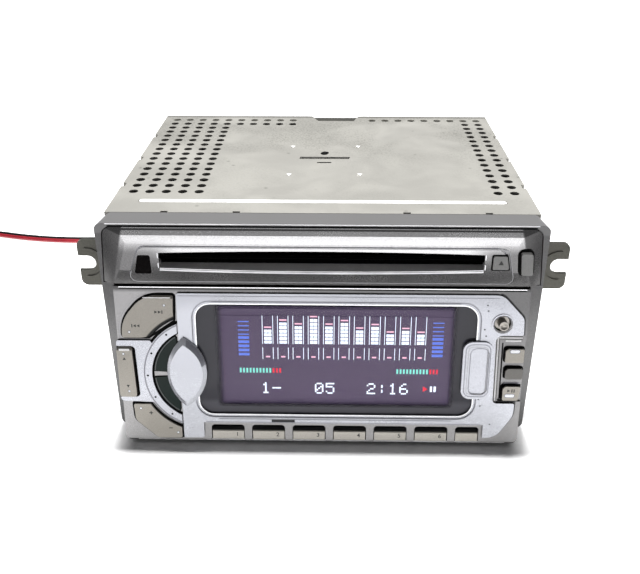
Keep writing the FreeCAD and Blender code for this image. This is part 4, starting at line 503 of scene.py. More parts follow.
def prisms(name, outlines, front, back, finish, body="flip_panel", place=panel, bevel=0.0):
    """Flat outlines, each made into a slab between two depths, as one piece."""
    points = []
    faces = []
    for outline in outlines:
        base = len(points)
        count = len(outline)
        points += [place(x, front, z) for x, z in outline]
        points += [place(x, back, z) for x, z in outline]
        faces.append(tuple(range(base, base + count)))
        faces.append(tuple(range(base + 2 * count - 1, base + count - 1, -1)))
        for k in range(count):
            after = (k + 1) % count
            faces.append((base + k, base + after, base + count + after, base + count + k))
    return solid(name, points, faces, finish, body, bevel)


def band(name, rings, finish, body="flip_panel", place=panel, caps=False):
    """A skin through loops of points given as (across, inward, up), each loop as long."""
    count = len(rings[0])
    points = [place(*p) for ring in rings for p in ring]
    faces = []
    for i in range(len(rings) - 1):
        for k in range(count):
            after = (k + 1) % count
            faces.append((i * count + k, i * count + after, (i + 1) * count + after, (i + 1) * count + k))
    if caps:
        faces.append(tuple(range(count)))
        faces.append(tuple(range((len(rings) - 1) * count, len(rings) * count)))
    return solid(name, points, faces, finish, body)


# Power wires
WIRE, WIRE_SPACING = 2.6, 3.2
RED_ROUTE = [(18, 158, 18), (18, 168, 18), (13.5, 179.5, 16.2), (3.5, 187.5, 12.6), (-10, 191.5, 8.2),
             (-26, 192.5, 4.4), (-46, 191.3, 2), (-72, 189, 1.4), (-102, 185.6, 1.4), (-132, 182.8, 1.4),
             (-158, 181, 1.4), (-182, 181.3, 1.4), (-205, 184.7, 1.4), (-228, 190.9, 1.4),
             (-251, 195.4, 1.4)]
BLACK_ROUTE = [(21.2, 158, 18), (21.2, 168.7, 18), (16.1, 181.4, 16.2), (4.9, 190.4, 12.6),
               (-9.5, 194.7, 8.2), (-26.1, 195.7, 4.4), (-46.3, 194.5, 2), (-72.3, 192.2, 1.4),
               (-102.3, 188.8, 1.4), (-132.2, 186, 1.4), (-158, 184.2, 1.4), (-181.8, 184.5, 1.4),
               (-204.3, 187.8, 1.4), (-227.3, 194, 1.4), (-250.7, 198.6, 1.4)]
COIL_X, COIL_TOP, COIL_INNER, COIL_STEP, COIL_TURNS = -276.0, 195.4, 22.0, 6.4, 2
COIL_LOW, COIL_HIGH = 1.4, 4.5


def coil_route(offset):
    """The coil's turns: inwards on the table, up a layer and outwards again."""
    count = 16
    reach = 0.75 + 0.25 * math.cos(2 * math.pi / count)
    centre = COIL_TOP - COIL_INNER - COIL_TURNS * COIL_STEP
    halves = []
    radius = COIL_INNER + COIL_TURNS * COIL_STEP + offset
    for _ in range(COIL_TURNS):
        halves += [(centre, radius, COIL_LOW, COIL_LOW),
                   (centre - COIL_STEP / 2, radius - COIL_STEP / 2, COIL_LOW, COIL_LOW)]
        radius -= COIL_STEP
    halves.append((centre, radius, COIL_LOW, COIL_HIGH))
    for _ in range(COIL_TURNS):
        halves.append((centre + COIL_STEP / 2, radius + COIL_STEP / 2, COIL_HIGH, COIL_HIGH))
        radius += COIL_STEP
        halves.append((centre, radius, COIL_HIGH, COIL_HIGH))
    step = 2 * math.pi / count
    angle = math.pi / 2
    first = halves[0][1] / reach
    points = [(COIL_X + first * math.cos(angle - step / 2),
               halves[0][0] + first * math.sin(angle - step / 2), COIL_LOW)]
    for middle, radius, low, high in halves:
        for k in range(count // 2):
            here = angle + step * (k + 0.5)
            points.append((COIL_X + radius / reach * math.cos(here), middle + radius / reach * math.sin(here),
                           low + (high - low) * (k + 0.5) / (count // 2)))
        angle += math.pi
    points.append((COIL_X, halves[-1][0] - halves[-1][1], COIL_HIGH))
    return points


def wire(name, route, stands_for, finish):
    curve = bpy.data.curves.new(name, "CURVE")
    curve.dimensions = "3D"
    curve.bevel_depth = WIRE / 2 * MM
    curve.bevel_resolution = 6
    curve.use_fill_caps = True
    spline = curve.splines.new("NURBS")
    spline.points.add(len(route) - 1)
    for point, spot in zip(spline.points, route):
        point.co = (*unit(*spot), 1.0)
    spline.order_u = 3
    spline.use_endpoint_u = True
    spline.resolution_u = 6
    curve.materials.append(finishes[finish].material)
    made = bpy.data.objects.new(name, curve)
    bpy.context.scene.collection.objects.link(made)
    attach(made, "unit")
    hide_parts(*stands_for)
    unit(*route[0])


wire("red_power_wire", RED_ROUTE + coil_route(0.0), ("red_lead", "lead_coil"), "red_wire")
wire("black_power_wire", BLACK_ROUTE + coil_route(WIRE_SPACING), ("black_lead",), "black_wire")


# Room: a pale table that ends just in front of the picture and glows with painted light away from the unit, a
# lamp above and a soft bright surround
def make_world():
    """Brightness by elevation times brightness by turn: a bright band in front, just below level."""
    world = bpy.data.worlds.new("studio")
    bpy.context.scene.world = world
    world.use_nodes = True
    tree = world.node_tree
    place = tree.nodes.new("ShaderNodeTexCoord")
    split = tree.nodes.new("ShaderNodeSeparateXYZ")
    scale = tree.nodes.new("ShaderNodeMapRange")
    ramp = tree.nodes.new("ShaderNodeValToRGB")
    scale.inputs["From Min"].default_value = -1.0
    tree.links.new(place.outputs["Generated"], split.inputs[0])
    tree.links.new(split.outputs["Z"], scale.inputs["Value"])
    tree.links.new(scale.outputs["Result"], ramp.inputs["Fac"])
    across = tree.nodes.new("ShaderNodeMapRange")
    sides = tree.nodes.new("ShaderNodeValToRGB")
    both = tree.nodes.new("ShaderNodeMix")
    across.inputs["From Min"].default_value = -1.0
    both.data_type = "RGBA"
    both.blend_type = "MULTIPLY"
    both.inputs[0].default_value = 1.0
    tree.links.new(split.outputs["X"], across.inputs["Value"])
    tree.links.new(across.outputs["Result"], sides.inputs["Fac"])
    tree.links.new(ramp.outputs["Color"], both.inputs[6])
    tree.links.new(sides.outputs["Color"], both.inputs[7])
    tree.links.new(both.outputs[2], tree.nodes["Background"].inputs["Color"])
    tree.nodes["Background"].inputs["Strength"].default_value = 2.8
    heights = ((-90, 0.012), (-24, 0.02), (-17, 0.9), (-4, 1.0), (1, 0.22), (15, 0.17), (27, 0.04),
               (42, 0.04), (60, 0.07), (90, 0.08))
    turns = ((-90, 0.3), (-40, 0.35), (-22, 0.8), (-8, 1.0), (5, 1.0), (24, 1.0), (42, 0.32),
             (90, 0.28))
    for node, stops in ((ramp, heights), (sides, turns)):
        steps = node.color_ramp.elements
        while len(steps) < len(stops):
            steps.new(0.5)
        for step, (angle, light) in zip(steps, stops):
            step.position = (math.sin(math.radians(angle)) + 1.0) / 2.0
            step.color = (light, light, light * 1.01, 1.0)


def make_lamp(name, spot, aim, width, height, power):
    data = bpy.data.lights.new(name, "AREA")
    data.shape = "RECTANGLE"
    data.size = width
    data.size_y = height
    data.energy = power
    lamp = bpy.data.objects.new(name, data)
    bpy.context.scene.collection.objects.link(lamp)
    lamp.location = spot
    lamp.rotation_euler = (Vector(aim) - Vector(spot)).to_track_quat("-Z", "Y").to_euler()


def make_room():
    front, back, side = -0.166, 2.5, 2.5
    mesh = bpy.data.meshes.new("table")
    mesh.from_pydata([(-side, front, 0), (side, front, 0), (side, back, 0), (-side, back, 0)], [],
                     [(0, 1, 2, 3)])
    table = bpy.data.objects.new("table", mesh)
    bpy.context.scene.collection.objects.link(table)
    white = Finish("table_white", Roughness=0.6)
    white.put(Base_Color=white.mix(white.noise(60.0), (0.93, 0.93, 0.93), (0.96, 0.96, 0.96)))
    x, y, z = white.axes()
    # The table glows with painted light away from the unit and beside its sides, filling in the floor's
    # shadows there.
    away = (x * x + y * y) ** 0.5
    aside = abs(x).eased(0.081, 0.097)
    painted_floor_light = away.eased(0.16, 0.8).higher_of(aside)
    white.put(Emission_Color=white.mix(painted_floor_light, (0.0, 0.0, 0.0), (0.9, 0.9, 0.9)), Emission_Strength=1.0)
    mesh.materials.append(white.material)
    make_world()
    make_lamp("lamp_above", (0.0, 0.12, 1.1), (0.0, 0.0, 0.0), 0.26, 0.05, 19.4)
    bpy.context.scene.view_settings.view_transform = "Standard"


make_room()

# Softened edges of the CAD pieces
for name, width in (("front_frame", 0.5), ("disc_fascia", 0.35), ("panel_shell", 0.7), ("fascia_plate", 0.3),
                    ("ring_trim", 0.25), ("seek_rocker", 0.45), ("level_rocker", 0.5), ("band_rocker", 0.4),
                    ("upper_sound_button", 0.3), ("lower_sound_button", 0.3), ("source_button", 0.35),
                    ("analyser_button", 0.35), ("play_button", 0.35), ("eject_button", 0.4),
                    ("release_button", 0.4), ("side_brackets", 0.2), ("sensor_window", 0.3)):
    soften(nodes[name], width)
for i in range(1, 8):
    soften(nodes["preset_button_%d" % i], 0.3)


# Everything that shines in the display
def lamp_finish(name, colour, strength):
    made = Finish(name, Roughness=0.5, Emission_Strength=strength)
    glow = made.mix(made.noise(0.6).spread(0.3, 0.7), shade(colour, 0.92), colour)
    made.put(Base_Color=glow, Emission_Color=glow)
    return made


finishes["lit_white"] = lamp_finish("lit_white", (0.80, 0.88, 1.0), 1.5)
finishes["lit_blue"] = lamp_finish("lit_blue", (0.12, 0.20, 0.72), 1.0)
finishes["lit_pink"] = lamp_finish("lit_pink", (0.90, 0.52, 0.66), 1.0)
finishes["lit_cyan"] = lamp_finish("lit_cyan", (0.22, 0.72, 0.62), 1.0)
finishes["lit_red"] = lamp_finish("lit_red", (0.75, 0.03, 0.06), 1.0)
finishes["pip_white"] = lamp_finish("pip_white", (0.85, 0.86, 0.88), 0.25)

DIGITS = {
    "0": "01110 10001 10011 10101 11001 10001 01110", "1": "00100 01100 00100 00100 00100 00100 01110",
    "2": "01110 10001 00001 00110 01000 10000 11111", "5": "11111 10000 11110 00001 00001 10001 01110",
    "6": "00110 01000 10000 11110 10001 10001 01110", "-": "00000 00000 00000 11111 00000 00000 00000",
    ":": "00000 00100 00100 00000 00100 00100 00000",
}


def dot_digits(text, x, low, pitch):
    """Dot-matrix figures as small squares, lower left corner at x, low."""
    squares = []
    for place, figure in enumerate(text):
        if figure == " ":
            continue
        for row, line in enumerate(DIGITS[figure].split()):
            for column, lit in enumerate(line):
                if lit == "1":
                    left = x + (place * 6.2 + column) * pitch
                    base = low + (6 - row) * pitch
                    squares.append(rect(left, left + pitch * 0.88, base, base + pitch * 0.88))
    return squares


def display_marks():
    front, back = 1.74, 1.79
    white = dot_digits("1-", -25.5, 23.3, 0.75) + dot_digits("05", -2.6, 23.3, 0.75)
    white += dot_digits("2:16", 19.6, 23.3, 0.75)
    blue = []
    cyan = []
    red_marks = []
    pink = []
    levels = [4, 6, 5, 7, 5, 6, 4, 5, 3, 4, 3]
    for i, level in enumerate(levels):
        x = -24.6 + i * 6.4
        for left in (x - 0.12, x + 4.3):
            white.append(rect(left, left + 0.24, 46.4, 59.2))
            white.append(rect(left, left + 0.24, 39.4, 44.8))
        for k in range(level):
            for side in (0.75, 2.35):
                white.append(rect(x + side, x + side + 1.45, 46.6 + k * 1.65, 47.9 + k * 1.65))
        pink.append(rect(x + 0.75, x + 3.8, 47.1 + level * 1.65, 47.7 + level * 1.65))
        pink.append(rect(x + 1.3, x + 3.1, 40.2, 40.9))
    for left in (-34.8, 46.6):
        for k in range(9):
            blue.append(rect(left, left + 4.6, 41.0 + k * 1.9, 42.2 + k * 1.9 - (0.7 if k > 4 else 0.0)))
    for start in (-34.6, 32.0):
        for k in range(13):
            marks = red_marks if k > 9 else cyan
            marks.append(rect(start + k * 1.4, start + k * 1.4 + 0.8, 33.0, 35.2))
    red_marks.append([(43.6, 24.6), (45.6, 25.9), (43.6, 27.2)])
    white += [rect(46.6, 47.5, 24.6, 27.2), rect(48.2, 49.1, 24.6, 27.2)]
    for name, shapes, finish in (("display_white_marks", white, "lit_white"),
                                 ("display_blue_marks", blue, "lit_blue"),
                                 ("display_cyan_marks", cyan, "lit_cyan"),
                                 ("display_pink_marks", pink, "lit_pink"),
                                 ("display_red_marks", red_marks, "lit_red")):
        prisms(name, shapes, front, back, finish)


display_marks()


# Marks on the keys
def triangle(x, z, size, degrees):
    """An arrowhead that points the way degrees gives."""
    turn = math.radians(degrees)
    corners = [(size, 0.0), (-size * 0.6, size * 0.85), (-size * 0.6, -size * 0.85)]
    return [(x + a * math.cos(turn) - b * math.sin(turn), z + a * math.sin(turn) + b * math.cos(turn))
            for a, b in corners]


def bar(x, z, width, height):
    return rect(x - width / 2, x + width / 2, z - height / 2, z + height / 2)


def pips(name, spots, front, body):
    """Small bright dots, each in a dark ring."""
    for made, radius, proud, finish in ((name + "_rings", 0.62, 0.04, "line_grey"),
                                        (name, 0.4, 0.07, "pip_white")):
        prisms(made, [circle(x, z, radius, 16) for x, z in spots], front - proud, front + 0.1, finish, body)


def key_marks():
    prisms("seek_marks", [triangle(-68.1, 61.7, 0.75, 0), triangle(-66.6, 61.7, 0.75, 0),
                          bar(-65.4, 61.7, 0.4, 1.5), triangle(-75.6, 55.5, 0.75, 180),
                          triangle(-77.1, 55.5, 0.75, 180), bar(-78.3, 55.5, 0.4, 1.5)],
           -1.63, -1.55, "ink", "seek_rocker")
    pips("seek_pips", [(-64.4, 64.7), (-79.6, 52.7)], -1.6, "seek_rocker")
    prisms("level_marks", [triangle(-82.6, 40.6, 0.8, 90), triangle(-81.9, 28.0, 0.8, 270)],
           -2.03, -1.95, "ink", "level_rocker")
    pips("level_pips", [(-82.8, 42.9), (-81.6, 25.5)], -2.0, "level_rocker")
    prisms("band_marks", [bar(-73.1, 15.0, 1.6, 0.4), bar(-73.1, 15.0, 0.4, 1.6), bar(-65.0, 7.7, 1.6, 0.4)],
           -1.63, -1.55, "ink", "band_rocker")
    pips("band_pips", [(-77.4, 17.2), (-61.9, 5.6)], -1.6, "band_rocker")
    pause = [bar(x, 27.0, 0.45, 1.5) for x in (80.9, 81.8)]
    prisms("play_marks", [triangle(79.4, 27.0, 0.8, 0)] + pause, -1.23, -1.15, "ink", "play_button")
    for name, body, x, z in (("play_lamp", "play_button", 80.0, 24.7),
                             ("source_lamp", "source_button", 80.7, 45.2)):
        prisms(name + "_ring", [rounded(bar(x, z, 4.5, 1.9), 0.9)], -1.24, -1.1, "line_grey", body)
        prisms(name, [rounded(bar(x, z, 3.9, 1.3), 0.6)], -1.28, -1.1, "pip_white", body)


key_marks()

# Black liners that paint the shade in the gaps round the controls, and lines beside them, the bright ones
# painted highlights
def arc(radius, start, end, count=28):
    return [(RING_X + radius * math.cos(math.radians(start + (end - start) * k / count)),
             RING_Z + radius * math.sin(math.radians(start + (end - start) * k / count)))
            for k in range(count + 1)]


def ring_part(inner, outer, start, end, count=28):
    return arc(outer, start, end, count) + arc(inner, end, start, count)


def grown(points, gap):
    """The same convex outline with every side moved out by a gap."""
    lines = []
    for (x0, z0), (x1, z1) in zip(points, points[1:] + points[:1]):
        length = math.hypot(x1 - x0, z1 - z0)
        nx, nz = (z1 - z0) / length, -(x1 - x0) / length
        lines.append((nx, nz, nx * x0 + nz * z0 + gap))
    out = []
    for a, b in zip(lines[-1:] + lines[:-1], lines):
        det = a[0] * b[1] - a[1] * b[0]
        out.append(((a[2] * b[1] - a[1] * b[2]) / det, (a[0] * b[2] - a[2] * b[0]) / det))
    return out


def trim(name, points, radius, inner, outer, front, back, finish, body="flip_panel", place=panel):
    """A line that runs round an outline, between two distances from it."""
    radii = radius if isinstance(radius, list) else [radius] * len(points)
    near = rounded(grown(points, inner), [max(0.05, one + inner) for one in radii])
    far = rounded(grown(points, outer), [max(0.05, one + outer) for one in radii])
    rings = [[(x, front, z) for x, z in near], [(x, front, z) for x, z in far],
             [(x, back, z) for x, z in far], [(x, back, z) for x, z in near],
             [(x, front, z) for x, z in near]]
    return band(name, rings, finish, body, place)


SEEK = [(-82.7, 50.2), (-71.9, 50.2), (-61.2, 57.6), (-60.6, 68.8), (-73.2, 68.8), (-82.7, 57.5)]
LEVEL = [(-85.0, 22.8), (-78.4, 22.8), (-79.2, 45.8), (-85.0, 45.8)]
BAND = [(-79.9, 11.6), (-70.6, 3.0), (-60.2, 3.0), (-60.2, 9.6), (-71.6, 19.2), (-80.3, 19.2)]
SEEK_RADII = [1.0, 0.3, 0.6, 0.8, 13.0, 15.0]
BAND_RADII = [4.0, 3.0, 0.8, 0.4, 0.4, 0.8]
PLATE = [(-59.4, 2.9), (-50.6, 2.9), (-50.6, 10.4), (69.8, 10.4), (69.8, 4.2), (75.6, 4.6), (82.2, 15.0),
         (82.4, 20.9), (73.0, 20.9), (72.3, 52.4), (83.7, 52.4), (83.3, 60.0), (74.0, 70.0), (-59.4, 69.8)]
PLATE_RADII = [1.0, 1.0, 0, 0, 0, 7.0, 7.0, 0.8, 2.0, 3.0, 0.8, 4.0, 6.0, 1.0]
BADGE = rect(59.1, 71.6, 23.5, 49.7)
BADGE_POCKET = rect(62.3, 69.8, 25.6, 46.7)
RIGHT_KEYS = {"source": [(76.9, 40.0), (84.6, 40.0), (84.6, 46.2), (76.9, 46.2)],
              "analyser": [(77.4, 32.4), (84.6, 32.4), (84.6, 37.2), (77.4, 37.2)],
              "play": [(77.0, 22.4), (83.6, 22.4), (84.4, 28.9), (77.0, 28.9)]}


def control_trims():
    # Black liners painting the shade in the gaps round the controls; more follow round the ring, the sound
    # keys and the right keys.
    trim("seek_gap", SEEK, SEEK_RADII, 0.0, 0.9, -0.03, 0.1, "gap_black")
    trim("level_gap", LEVEL, 0.5, 0.0, 1.0, -0.03, 0.1, "gap_black")
    trim("band_gap", BAND, BAND_RADII, 0.0, 1.05, -0.03, 0.1, "gap_black")
    # Painted highlights on the top edges of the seek and level keys.
    prisms("seek_highlight", [rect(-73.0, -61.6, 67.75, 68.2)], -1.64, -1.5, "white_edge", "seek_rocker")
    prisms("level_highlight", [rect(-84.6, -80.2, 44.3, 45.2)], -2.04, -1.9, "white_edge", "level_rocker")
    trim("seek_outline", SEEK, SEEK_RADII, 1.25, 1.5, -0.03, 0.1, "rim_grey")
    prisms("ring_line", [ring_part(24.45, 25.0, 113, 247)], PLATE_FRONT - 0.03, -1.0, "line_grey")
    spots = [arc(23.35, turn, turn)[0] for turn in (128, 155, 181, 207, 233)]
    prisms("ring_dots", [circle(x, z, 0.45, 16) for x, z in spots], PLATE_FRONT - 0.04, -1.0, "gap_black")
    for key, start, end in (("upper_sound", 123, 175), ("lower_sound", 185, 237)):
        prisms(key + "_rim", [ring_part(20.05, 20.5, start, end)], -0.64, -0.5, "sound_rim", key + "_button")
    prisms("ring_gaps", [ring_part(25.22, 26.3, 112, 152), ring_part(25.22, 26.0, 208, 248)],
           -0.04, 0.1, "gap_black")
    prisms("sound_well_liner", [ring_part(20.75, 21.6, 116, 244)], -0.06, 0.1, "gap_black")
    for name, outline in RIGHT_KEYS.items():
        trim(name + "_gap", outline, 0.7, 0.0, 0.6, 0.92, 1.05, "gap_black")
    prisms("recess_bars", [rect(76.9, 83.4, 48.7, 49.5)], 0.9, 1.05, "white_edge")
    prisms("recess_bar", [rect(77.6, 84.2, 29.3, 30.0)], 0.9, 1.05, "line_grey")
    # Grey lines along the plate's lower and upper edges paint their shade.
    prisms("plate_low_lines", [rect(-44.0, 56.0, 12.1, 12.5), rect(-49.6, 68.8, 10.55, 10.85)],
           PLATE_FRONT - 0.03, -1.1, "line_grey")
    prisms("plate_top_lines", [rect(-45.0, 57.0, 66.1, 66.5), rect(-58.6, 72.6, 68.6, 68.9)],
           PLATE_FRONT - 0.03, -1.1, "line_grey")
    spots = [(67.4, 55.0), (68.2, 52.1), (67.9, 65.7), (68.4, 63.2), (67.0, 22.8), (67.9, 19.7), (72.6, 10.9)]
    prisms("plate_dots", [circle(x, z, 0.35, 12) for x, z in spots], PLATE_FRONT - 0.03, -1.1, "ink")
    prisms("recess_shadow", [[(75.9, 22.2), (76.5, 22.2), (76.1, 48.2), (75.5, 48.2)]],
           0.93, 1.02, "gap_black")
    # Dark and pale lines along the steps of the recess paint their shade and highlight.
    prisms("recess_lines", [[(73.45, 21.4), (73.75, 21.4), (73.15, 51.2), (72.85, 51.2)],
                            [(74.6, 21.8), (74.85, 21.8), (74.3, 50.2), (74.05, 50.2)],
                            rect(73.6, 83.6, 51.3, 51.6), rect(74.3, 83.6, 50.2, 50.4)], -0.06, 0.02, "ink")
    prisms("recess_highlights", [[(73.9, 21.6), (74.3, 21.6), (73.7, 50.9), (73.3, 50.9)],
                             rect(73.8, 83.6, 50.7, 51.1)], -0.07, 0.02, "white_edge")
    near = rounded(PLATE, PLATE_RADII)
    far = rounded(grown(PLATE, 0.75), PLATE_RADII)
    beside = [x > 72.5 and not 21.0 < z < 52.6 for x, z in near]
    prisms("plate_outline", [[near[k], near[k + 1], far[k + 1], far[k]] for k in range(len(near) - 1)
                             if beside[k] and beside[k + 1]], -0.04, 0.1, "ink")
    left, right, low, high = GLASS
    glass = rect(left, right, low, high)
    # A painted highlight round the glass's edge, with a grey line outside it.
    trim("glass_bright_line", glass, 6.0, 0.1, 0.45, -0.97, -0.8, "bright_edge")
    trim("glass_grey_line", glass, 6.0, 1.35, 1.75, -1.23, -0.8, "line_grey")
    trim("badge_line", BADGE, 4.0, -1.3, -0.95, -2.23, -2.1, "line_grey")
    trim("badge_inner_line", BADGE, 4.0, -2.3, -2.05, -2.23, -2.1, "rim_grey")
    trim("badge_pocket_line", BADGE_POCKET, 2.6, 0.0, 0.3, -2.24, -2.1, "line_grey")
    trim("stick_ring", circle(STICK_X, STICK_Z, 4.6, 12), 2.0, -0.35, 0.1, -1.55, -1.0, "line_grey")
    prisms("stick_skirt", [circle(STICK_X, STICK_Z, 3.1, 32)], 0.9, 1.2, "stick_chrome", "stick")


control_trims()


# The boss between the sound keys and the glass: grey strips on its slopes that paint the reflection of its
# polished facets
BOSS = ((-57.3, 50.6), (-48.1, 33.8), (-57.3, 18.4), (-64.8, 34.8))
BOSS_INNER = ((-57.3, 47.6), (-49.6, 33.8), (-57.3, 21.4), (-63.3, 34.8))


def arc_through(first, middle, last, share):
    """Point on the circle through three points, a share of the way from first to last."""
    (ax, ay), (bx, by), (cx, cy) = first, middle, last
    det = 2.0 * (ax * (by - cy) + bx * (cy - ay) + cx * (ay - by))
    a2, b2, c2 = ax * ax + ay * ay, bx * bx + by * by, cx * cx + cy * cy
    ux = (a2 * (by - cy) + b2 * (cy - ay) + c2 * (ay - by)) / det
    uy = (a2 * (cx - bx) + b2 * (ax - cx) + c2 * (bx - ax)) / det
    start = math.atan2(ay - uy, ax - ux)
    turn = (math.atan2(cy - uy, cx - ux) - start + math.pi) % (2 * math.pi) - math.pi
    radius = math.hypot(ax - ux, ay - uy)
    return ux + radius * math.cos(start + turn * share), uy + radius * math.sin(start + turn * share)


def boss_facet(name, corners, start, end, low, high, finish):
    """Strip on the boss's slope, between two shares of its arc and of its height."""
    rings = []
    for k in range(13):
        share = start + (end - start) * k / 12
        outer = Vector(arc_through(*(BOSS[c] for c in corners), share))
        inner = Vector(arc_through(*(BOSS_INNER[c] for c in corners), share))
        ring = []
        for part, lift in ((low, 0.06), (high, 0.06), (high, -0.1), (low, -0.1)):
            spot = outer.lerp(inner, part)
            ring.append((spot.x, -2.0 - 1.4 * part - lift, spot.y))
        rings.append(ring)
    band(name, rings, finish, caps=True)


# Painted reflection on the boss's facets.
boss_facet("boss_upper_facet", (0, 1, 2), 0.04, 0.40, 0.05, 1.0, "facet_grey")
boss_facet("boss_lower_facet_1", (2, 3, 0), 0.03, 0.42, 0.55, 0.85, "facet_grey")
boss_facet("boss_lower_facet_2", (2, 3, 0), 0.02, 0.36, 0.10, 0.28, "facet_grey")


# Edges of the flip panel: a painted highlight line below the seam with a painted shadow strip under it, and
# the rounded edge of the chin in a pale silver that paints its highlight
def panel_edges():
    prisms("panel_top_highlight", [rect(-83.0, 83.6, 71.85, 72.15)], -0.05, 0.5, "bright_edge")
    prisms("panel_top_shadow", [rect(-83.0, 83.6, 71.25, 71.6)], -0.03, 0.1, "gap_black")
    # The chin's rounded edge, in a pale silver that paints its highlight.
    turns = [math.radians(angle) for angle in (20, 26, 32, 38, 43)]
    outer = [(2.5 * (1.0 - math.cos(turn)) - 0.08, 2.5 * (1.0 - math.sin(turn))) for turn in turns]
    section = outer + [(inward + 0.2, up + 0.12) for inward, up in reversed(outer)]
    rings = [[(x, inward, up) for inward, up in section] for x in (-80.0, 0.0, 80.0)]
    band("chin_edge", rings, "chin_silver", caps=True)


panel_edges()


# Top cover: the bead's painted highlight, the slots filled black as painted shade, dimples with painted
# highlights, the notch's floor, and a dark sheet under the vents that paints their shade
COVER_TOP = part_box("top_cover")[1].z * 1000.0


def on_cover(x, inward, y):
    return unit(x, y, COVER_TOP + inward)


def cover_marks():
    # The bead's highlight, painted as a pale strip.
    prisms("bead_face", [rounded(rect(-77.3, 77.3, 10.7, 13.9), 1.5)], 0.12, -0.3, "white_edge", "unit",
           on_cover, bevel=0.1)
    # Slots filled black: painted shade.
    prisms("cover_slots", [rect(-11.6, 12.5, 67.9, 69.1), rect(-2.5, 3.6, 61.0, 61.8),
                           circle(0.4, 75.3, 1.9, 24)], 0.03, -0.1, "gap_black", "unit", on_cover)
    # Pale triangles that paint the dimples' highlights.
    dimples = [[(x - 1.2, y + 1.5), (x + 1.2, y + 1.5), (x, y - 1.5)]
               for x, y in ((-15.8, 84.2), (-15.7, 44.3), (16.8, 84.8), (16.7, 44.8))]
    prisms("cover_dimples", dimples, 0.06, -0.1, "white_edge", "unit", on_cover)
    prisms("notch_floor", [[(-4.6, 129.4), (15.6, 129.4), (18.2, 137.6), (-7.2, 137.6)]],
           -0.7, -1.05, "bracket_steel", "unit", on_cover)
    # A dark sheet under the vents, painting the shade seen through the holes.
    shade_sheets = [rect(-84.0, -40.0, 20.0, 134.0), rect(-40.0, 84.0, 124.0, 134.0),
               rect(56.0, 84.0, 20.0, 124.0)]
    prisms("vent_shade_sheet", shade_sheets, -1.15, -1.35, "gap_black", "unit", on_cover)


cover_marks()


# Lettering: plain figures and marks only
def lettering(name, items, finish, body, place, size):
    """Figures from the built-in font, each as (text, across, up), laid on a face."""
    across = place(1.0, 0.0, 0.0) - place(0.0, 0.0, 0.0)
    upward = place(0.0, 0.0, 1.0) - place(0.0, 0.0, 0.0)
    points = []
    faces = []
    for text, x, z in items:
        curve = bpy.data.curves.new(name + "_text", "FONT")
        curve.body = text
        curve.size = size
        curve.align_x = "CENTER"
        curve.align_y = "CENTER"
        curve.offset = 0.045
        made = bpy.data.objects.new(name + "_text", curve)
        bpy.context.scene.collection.objects.link(made)
        flat = made.to_mesh()
        base = len(points)
        points += [place(x, 0.0, z) + across * v.co.x + upward * v.co.y for v in flat.vertices]
        faces += [tuple(base + i for i in polygon.vertices) for polygon in flat.polygons]
        bpy.data.objects.remove(made)
        bpy.data.curves.remove(curve)
    return solid(name, points, faces, finish, body)


def front_of(node):
    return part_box(node)[0].y


def key_face(lift):
    """Place on a preset key's face, lifted off it by a little."""
    return lambda x, inward, z: panel(x, 0.2 - lift + inward, z)


def preset_figures():
    for i in range(6):
        x = PRESET_FIRST + i * PRESET_PITCH + 10.8
        lettering("preset_figure_%d" % (i + 1), [(str(i + 1), x, 3.9)], "ink", "preset_button_%d" % (i + 1),
                  key_face(0.02), 2.7)


preset_figures()


# Upper fascia: painted highlights along the edge under the slot's lip, lines round the pad that paint its
# highlight and shade, and black liners that paint the shade in the key gaps
FACE_SEAM_Y, FACE_SEAM_Z, FACE_TOP_Z = -13.4, 73.9, 95.3
FACE_LEAN, FACE_CROWN = 1.0, 0.75
FRAME_HALF, FRAME_TOP = 86.5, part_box("front_frame")[1].z / MM
SLOT_HALF = 65.1
LIP_END, LIP_MIDDLE = 81.7, 80.6


def fascia_front(z, raised=0.5):
    """Depth of the crowned face at a height, or of the pad raised on it."""
    share = (z - FACE_SEAM_Z) / (FACE_TOP_Z - FACE_SEAM_Z)
    return FACE_SEAM_Y + FACE_LEAN * share - FACE_CROWN * 4.0 * share * (1.0 - share) - raised


def lip_strip(name, top, low, proud, finish):
    """Strip under the slot's bowed edge, from one distance below the edge to another."""
    steps = 40
    bow = LIP_END - LIP_MIDDLE
    radius = (SLOT_HALF ** 2 + bow ** 2) / (2.0 * bow)
    rings = []
    for k in range(steps + 1):
        x = -SLOT_HALF + 2.0 * SLOT_HALF * k / steps
        edge = LIP_END + (radius - bow) - math.sqrt(radius ** 2 - x ** 2)
        ring = []
        for drop, lift in ((top, proud), (low, proud), (low, -0.2), (top, -0.2)):
            ring.append((x, fascia_front(edge - drop) - lift, edge - drop))
        rings.append(ring)
    band(name, rings, finish, "unit", place=unit, caps=True)


# Painted highlights under the slot's lip, with a grey groove line of shade between them.
lip_strip("slot_lip_line", -0.1, 0.25, 0.06, "lip_bright")
lip_strip("slot_lip_groove", 0.25, 0.5, 0.02, "line_grey")
lip_strip("slot_lip_edge", 0.5, 1.1, 0.1, "lip_bright")


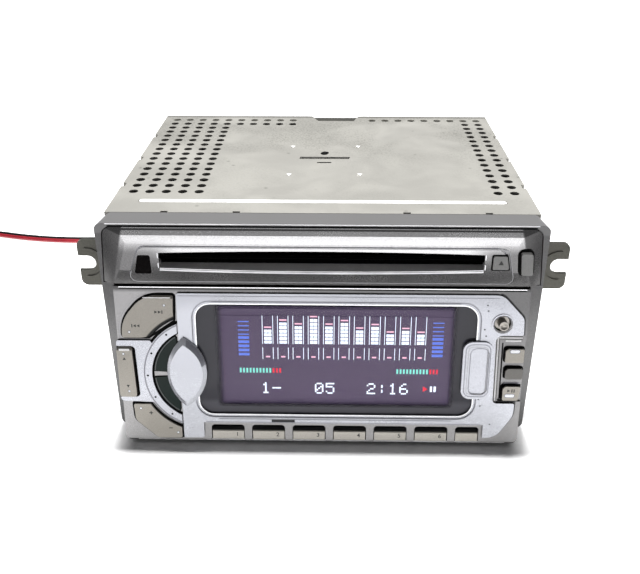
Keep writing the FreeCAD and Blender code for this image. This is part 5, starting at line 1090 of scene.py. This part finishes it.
def on_pad(x, inward, z):
    return unit(x, fascia_front(z) + inward, z)


def on_face(x, inward, z):
    return unit(x, fascia_front(z, 0.0) + inward, z)


def on_frame(x, inward, z):
    return Vector((x * MM, front_of("front_frame") + inward * MM, z * MM))


PAD_LINE = [(-79.0, 75.2), (78.2, 75.2), (74.9, 90.8), (-73.0, 90.8)]
PAD = [(-79.0, 75.2), (78.6, 75.2), (72.3, 90.8), (-73.0, 90.8)]
EJECT = [(68.5, 82.2), (75.1, 82.2), (73.9, 88.0), (68.5, 88.0)]
RELEASE = [(80.1, 80.0), (84.7, 80.0), (83.8, 89.5), (79.2, 89.5)]


def fascia_trims():
    # Lines round the pad painting its highlight and shade; black liners painting the shade in the key gaps.
    trim("pad_bright_line", PAD_LINE, 3.0, -0.45, -0.1, -0.05, 0.6, "rim_grey", "unit", on_pad)
    trim("pad_dark_line", PAD, 3.0, 0.02, 0.3, -0.03, 0.1, "line_grey", "unit", on_face)
    trim("eject_gap_liner", EJECT, 0.9, 0.0, 0.6, 0.25, 0.5, "gap_black", "unit", on_pad)
    trim("release_gap_liner", RELEASE, 0.9, 0.0, 0.8, -0.05, 0.5, "gap_black", "unit", on_face)
    # A painted highlight on the frame's top edge and a black line painting the shade of the gap under it.
    for name, low, high, finish in (("frame_top_line", 0.5, 0.1, "lip_bright"),
                                    ("frame_gap_line", 1.3, 0.9, "gap_black")):
        prisms(name, [rect(-FRAME_HALF + low, FRAME_HALF - low, FRAME_TOP - low, FRAME_TOP - high)],
               -0.05, 0.3, finish, "unit", on_frame)
    # Painted highlights at the slot's ends.
    prisms("slot_end_lines", [rect(-65.8, -65.4, 81.8, 88.2), rect(65.4, 65.8, 81.8, 88.2)],
           -0.06, 0.3, "lip_bright", "unit", on_pad)


fascia_trims()


def eject_mark():
    y = front_of("eject_button") - 0.00002
    points = [(x * MM, y, z * MM) for x, z in triangle(71.7, 85.1, 1.25, 90)]
    solid("eject_mark", points, [(0, 1, 2)], "ink", "eject_button")


eject_mark()
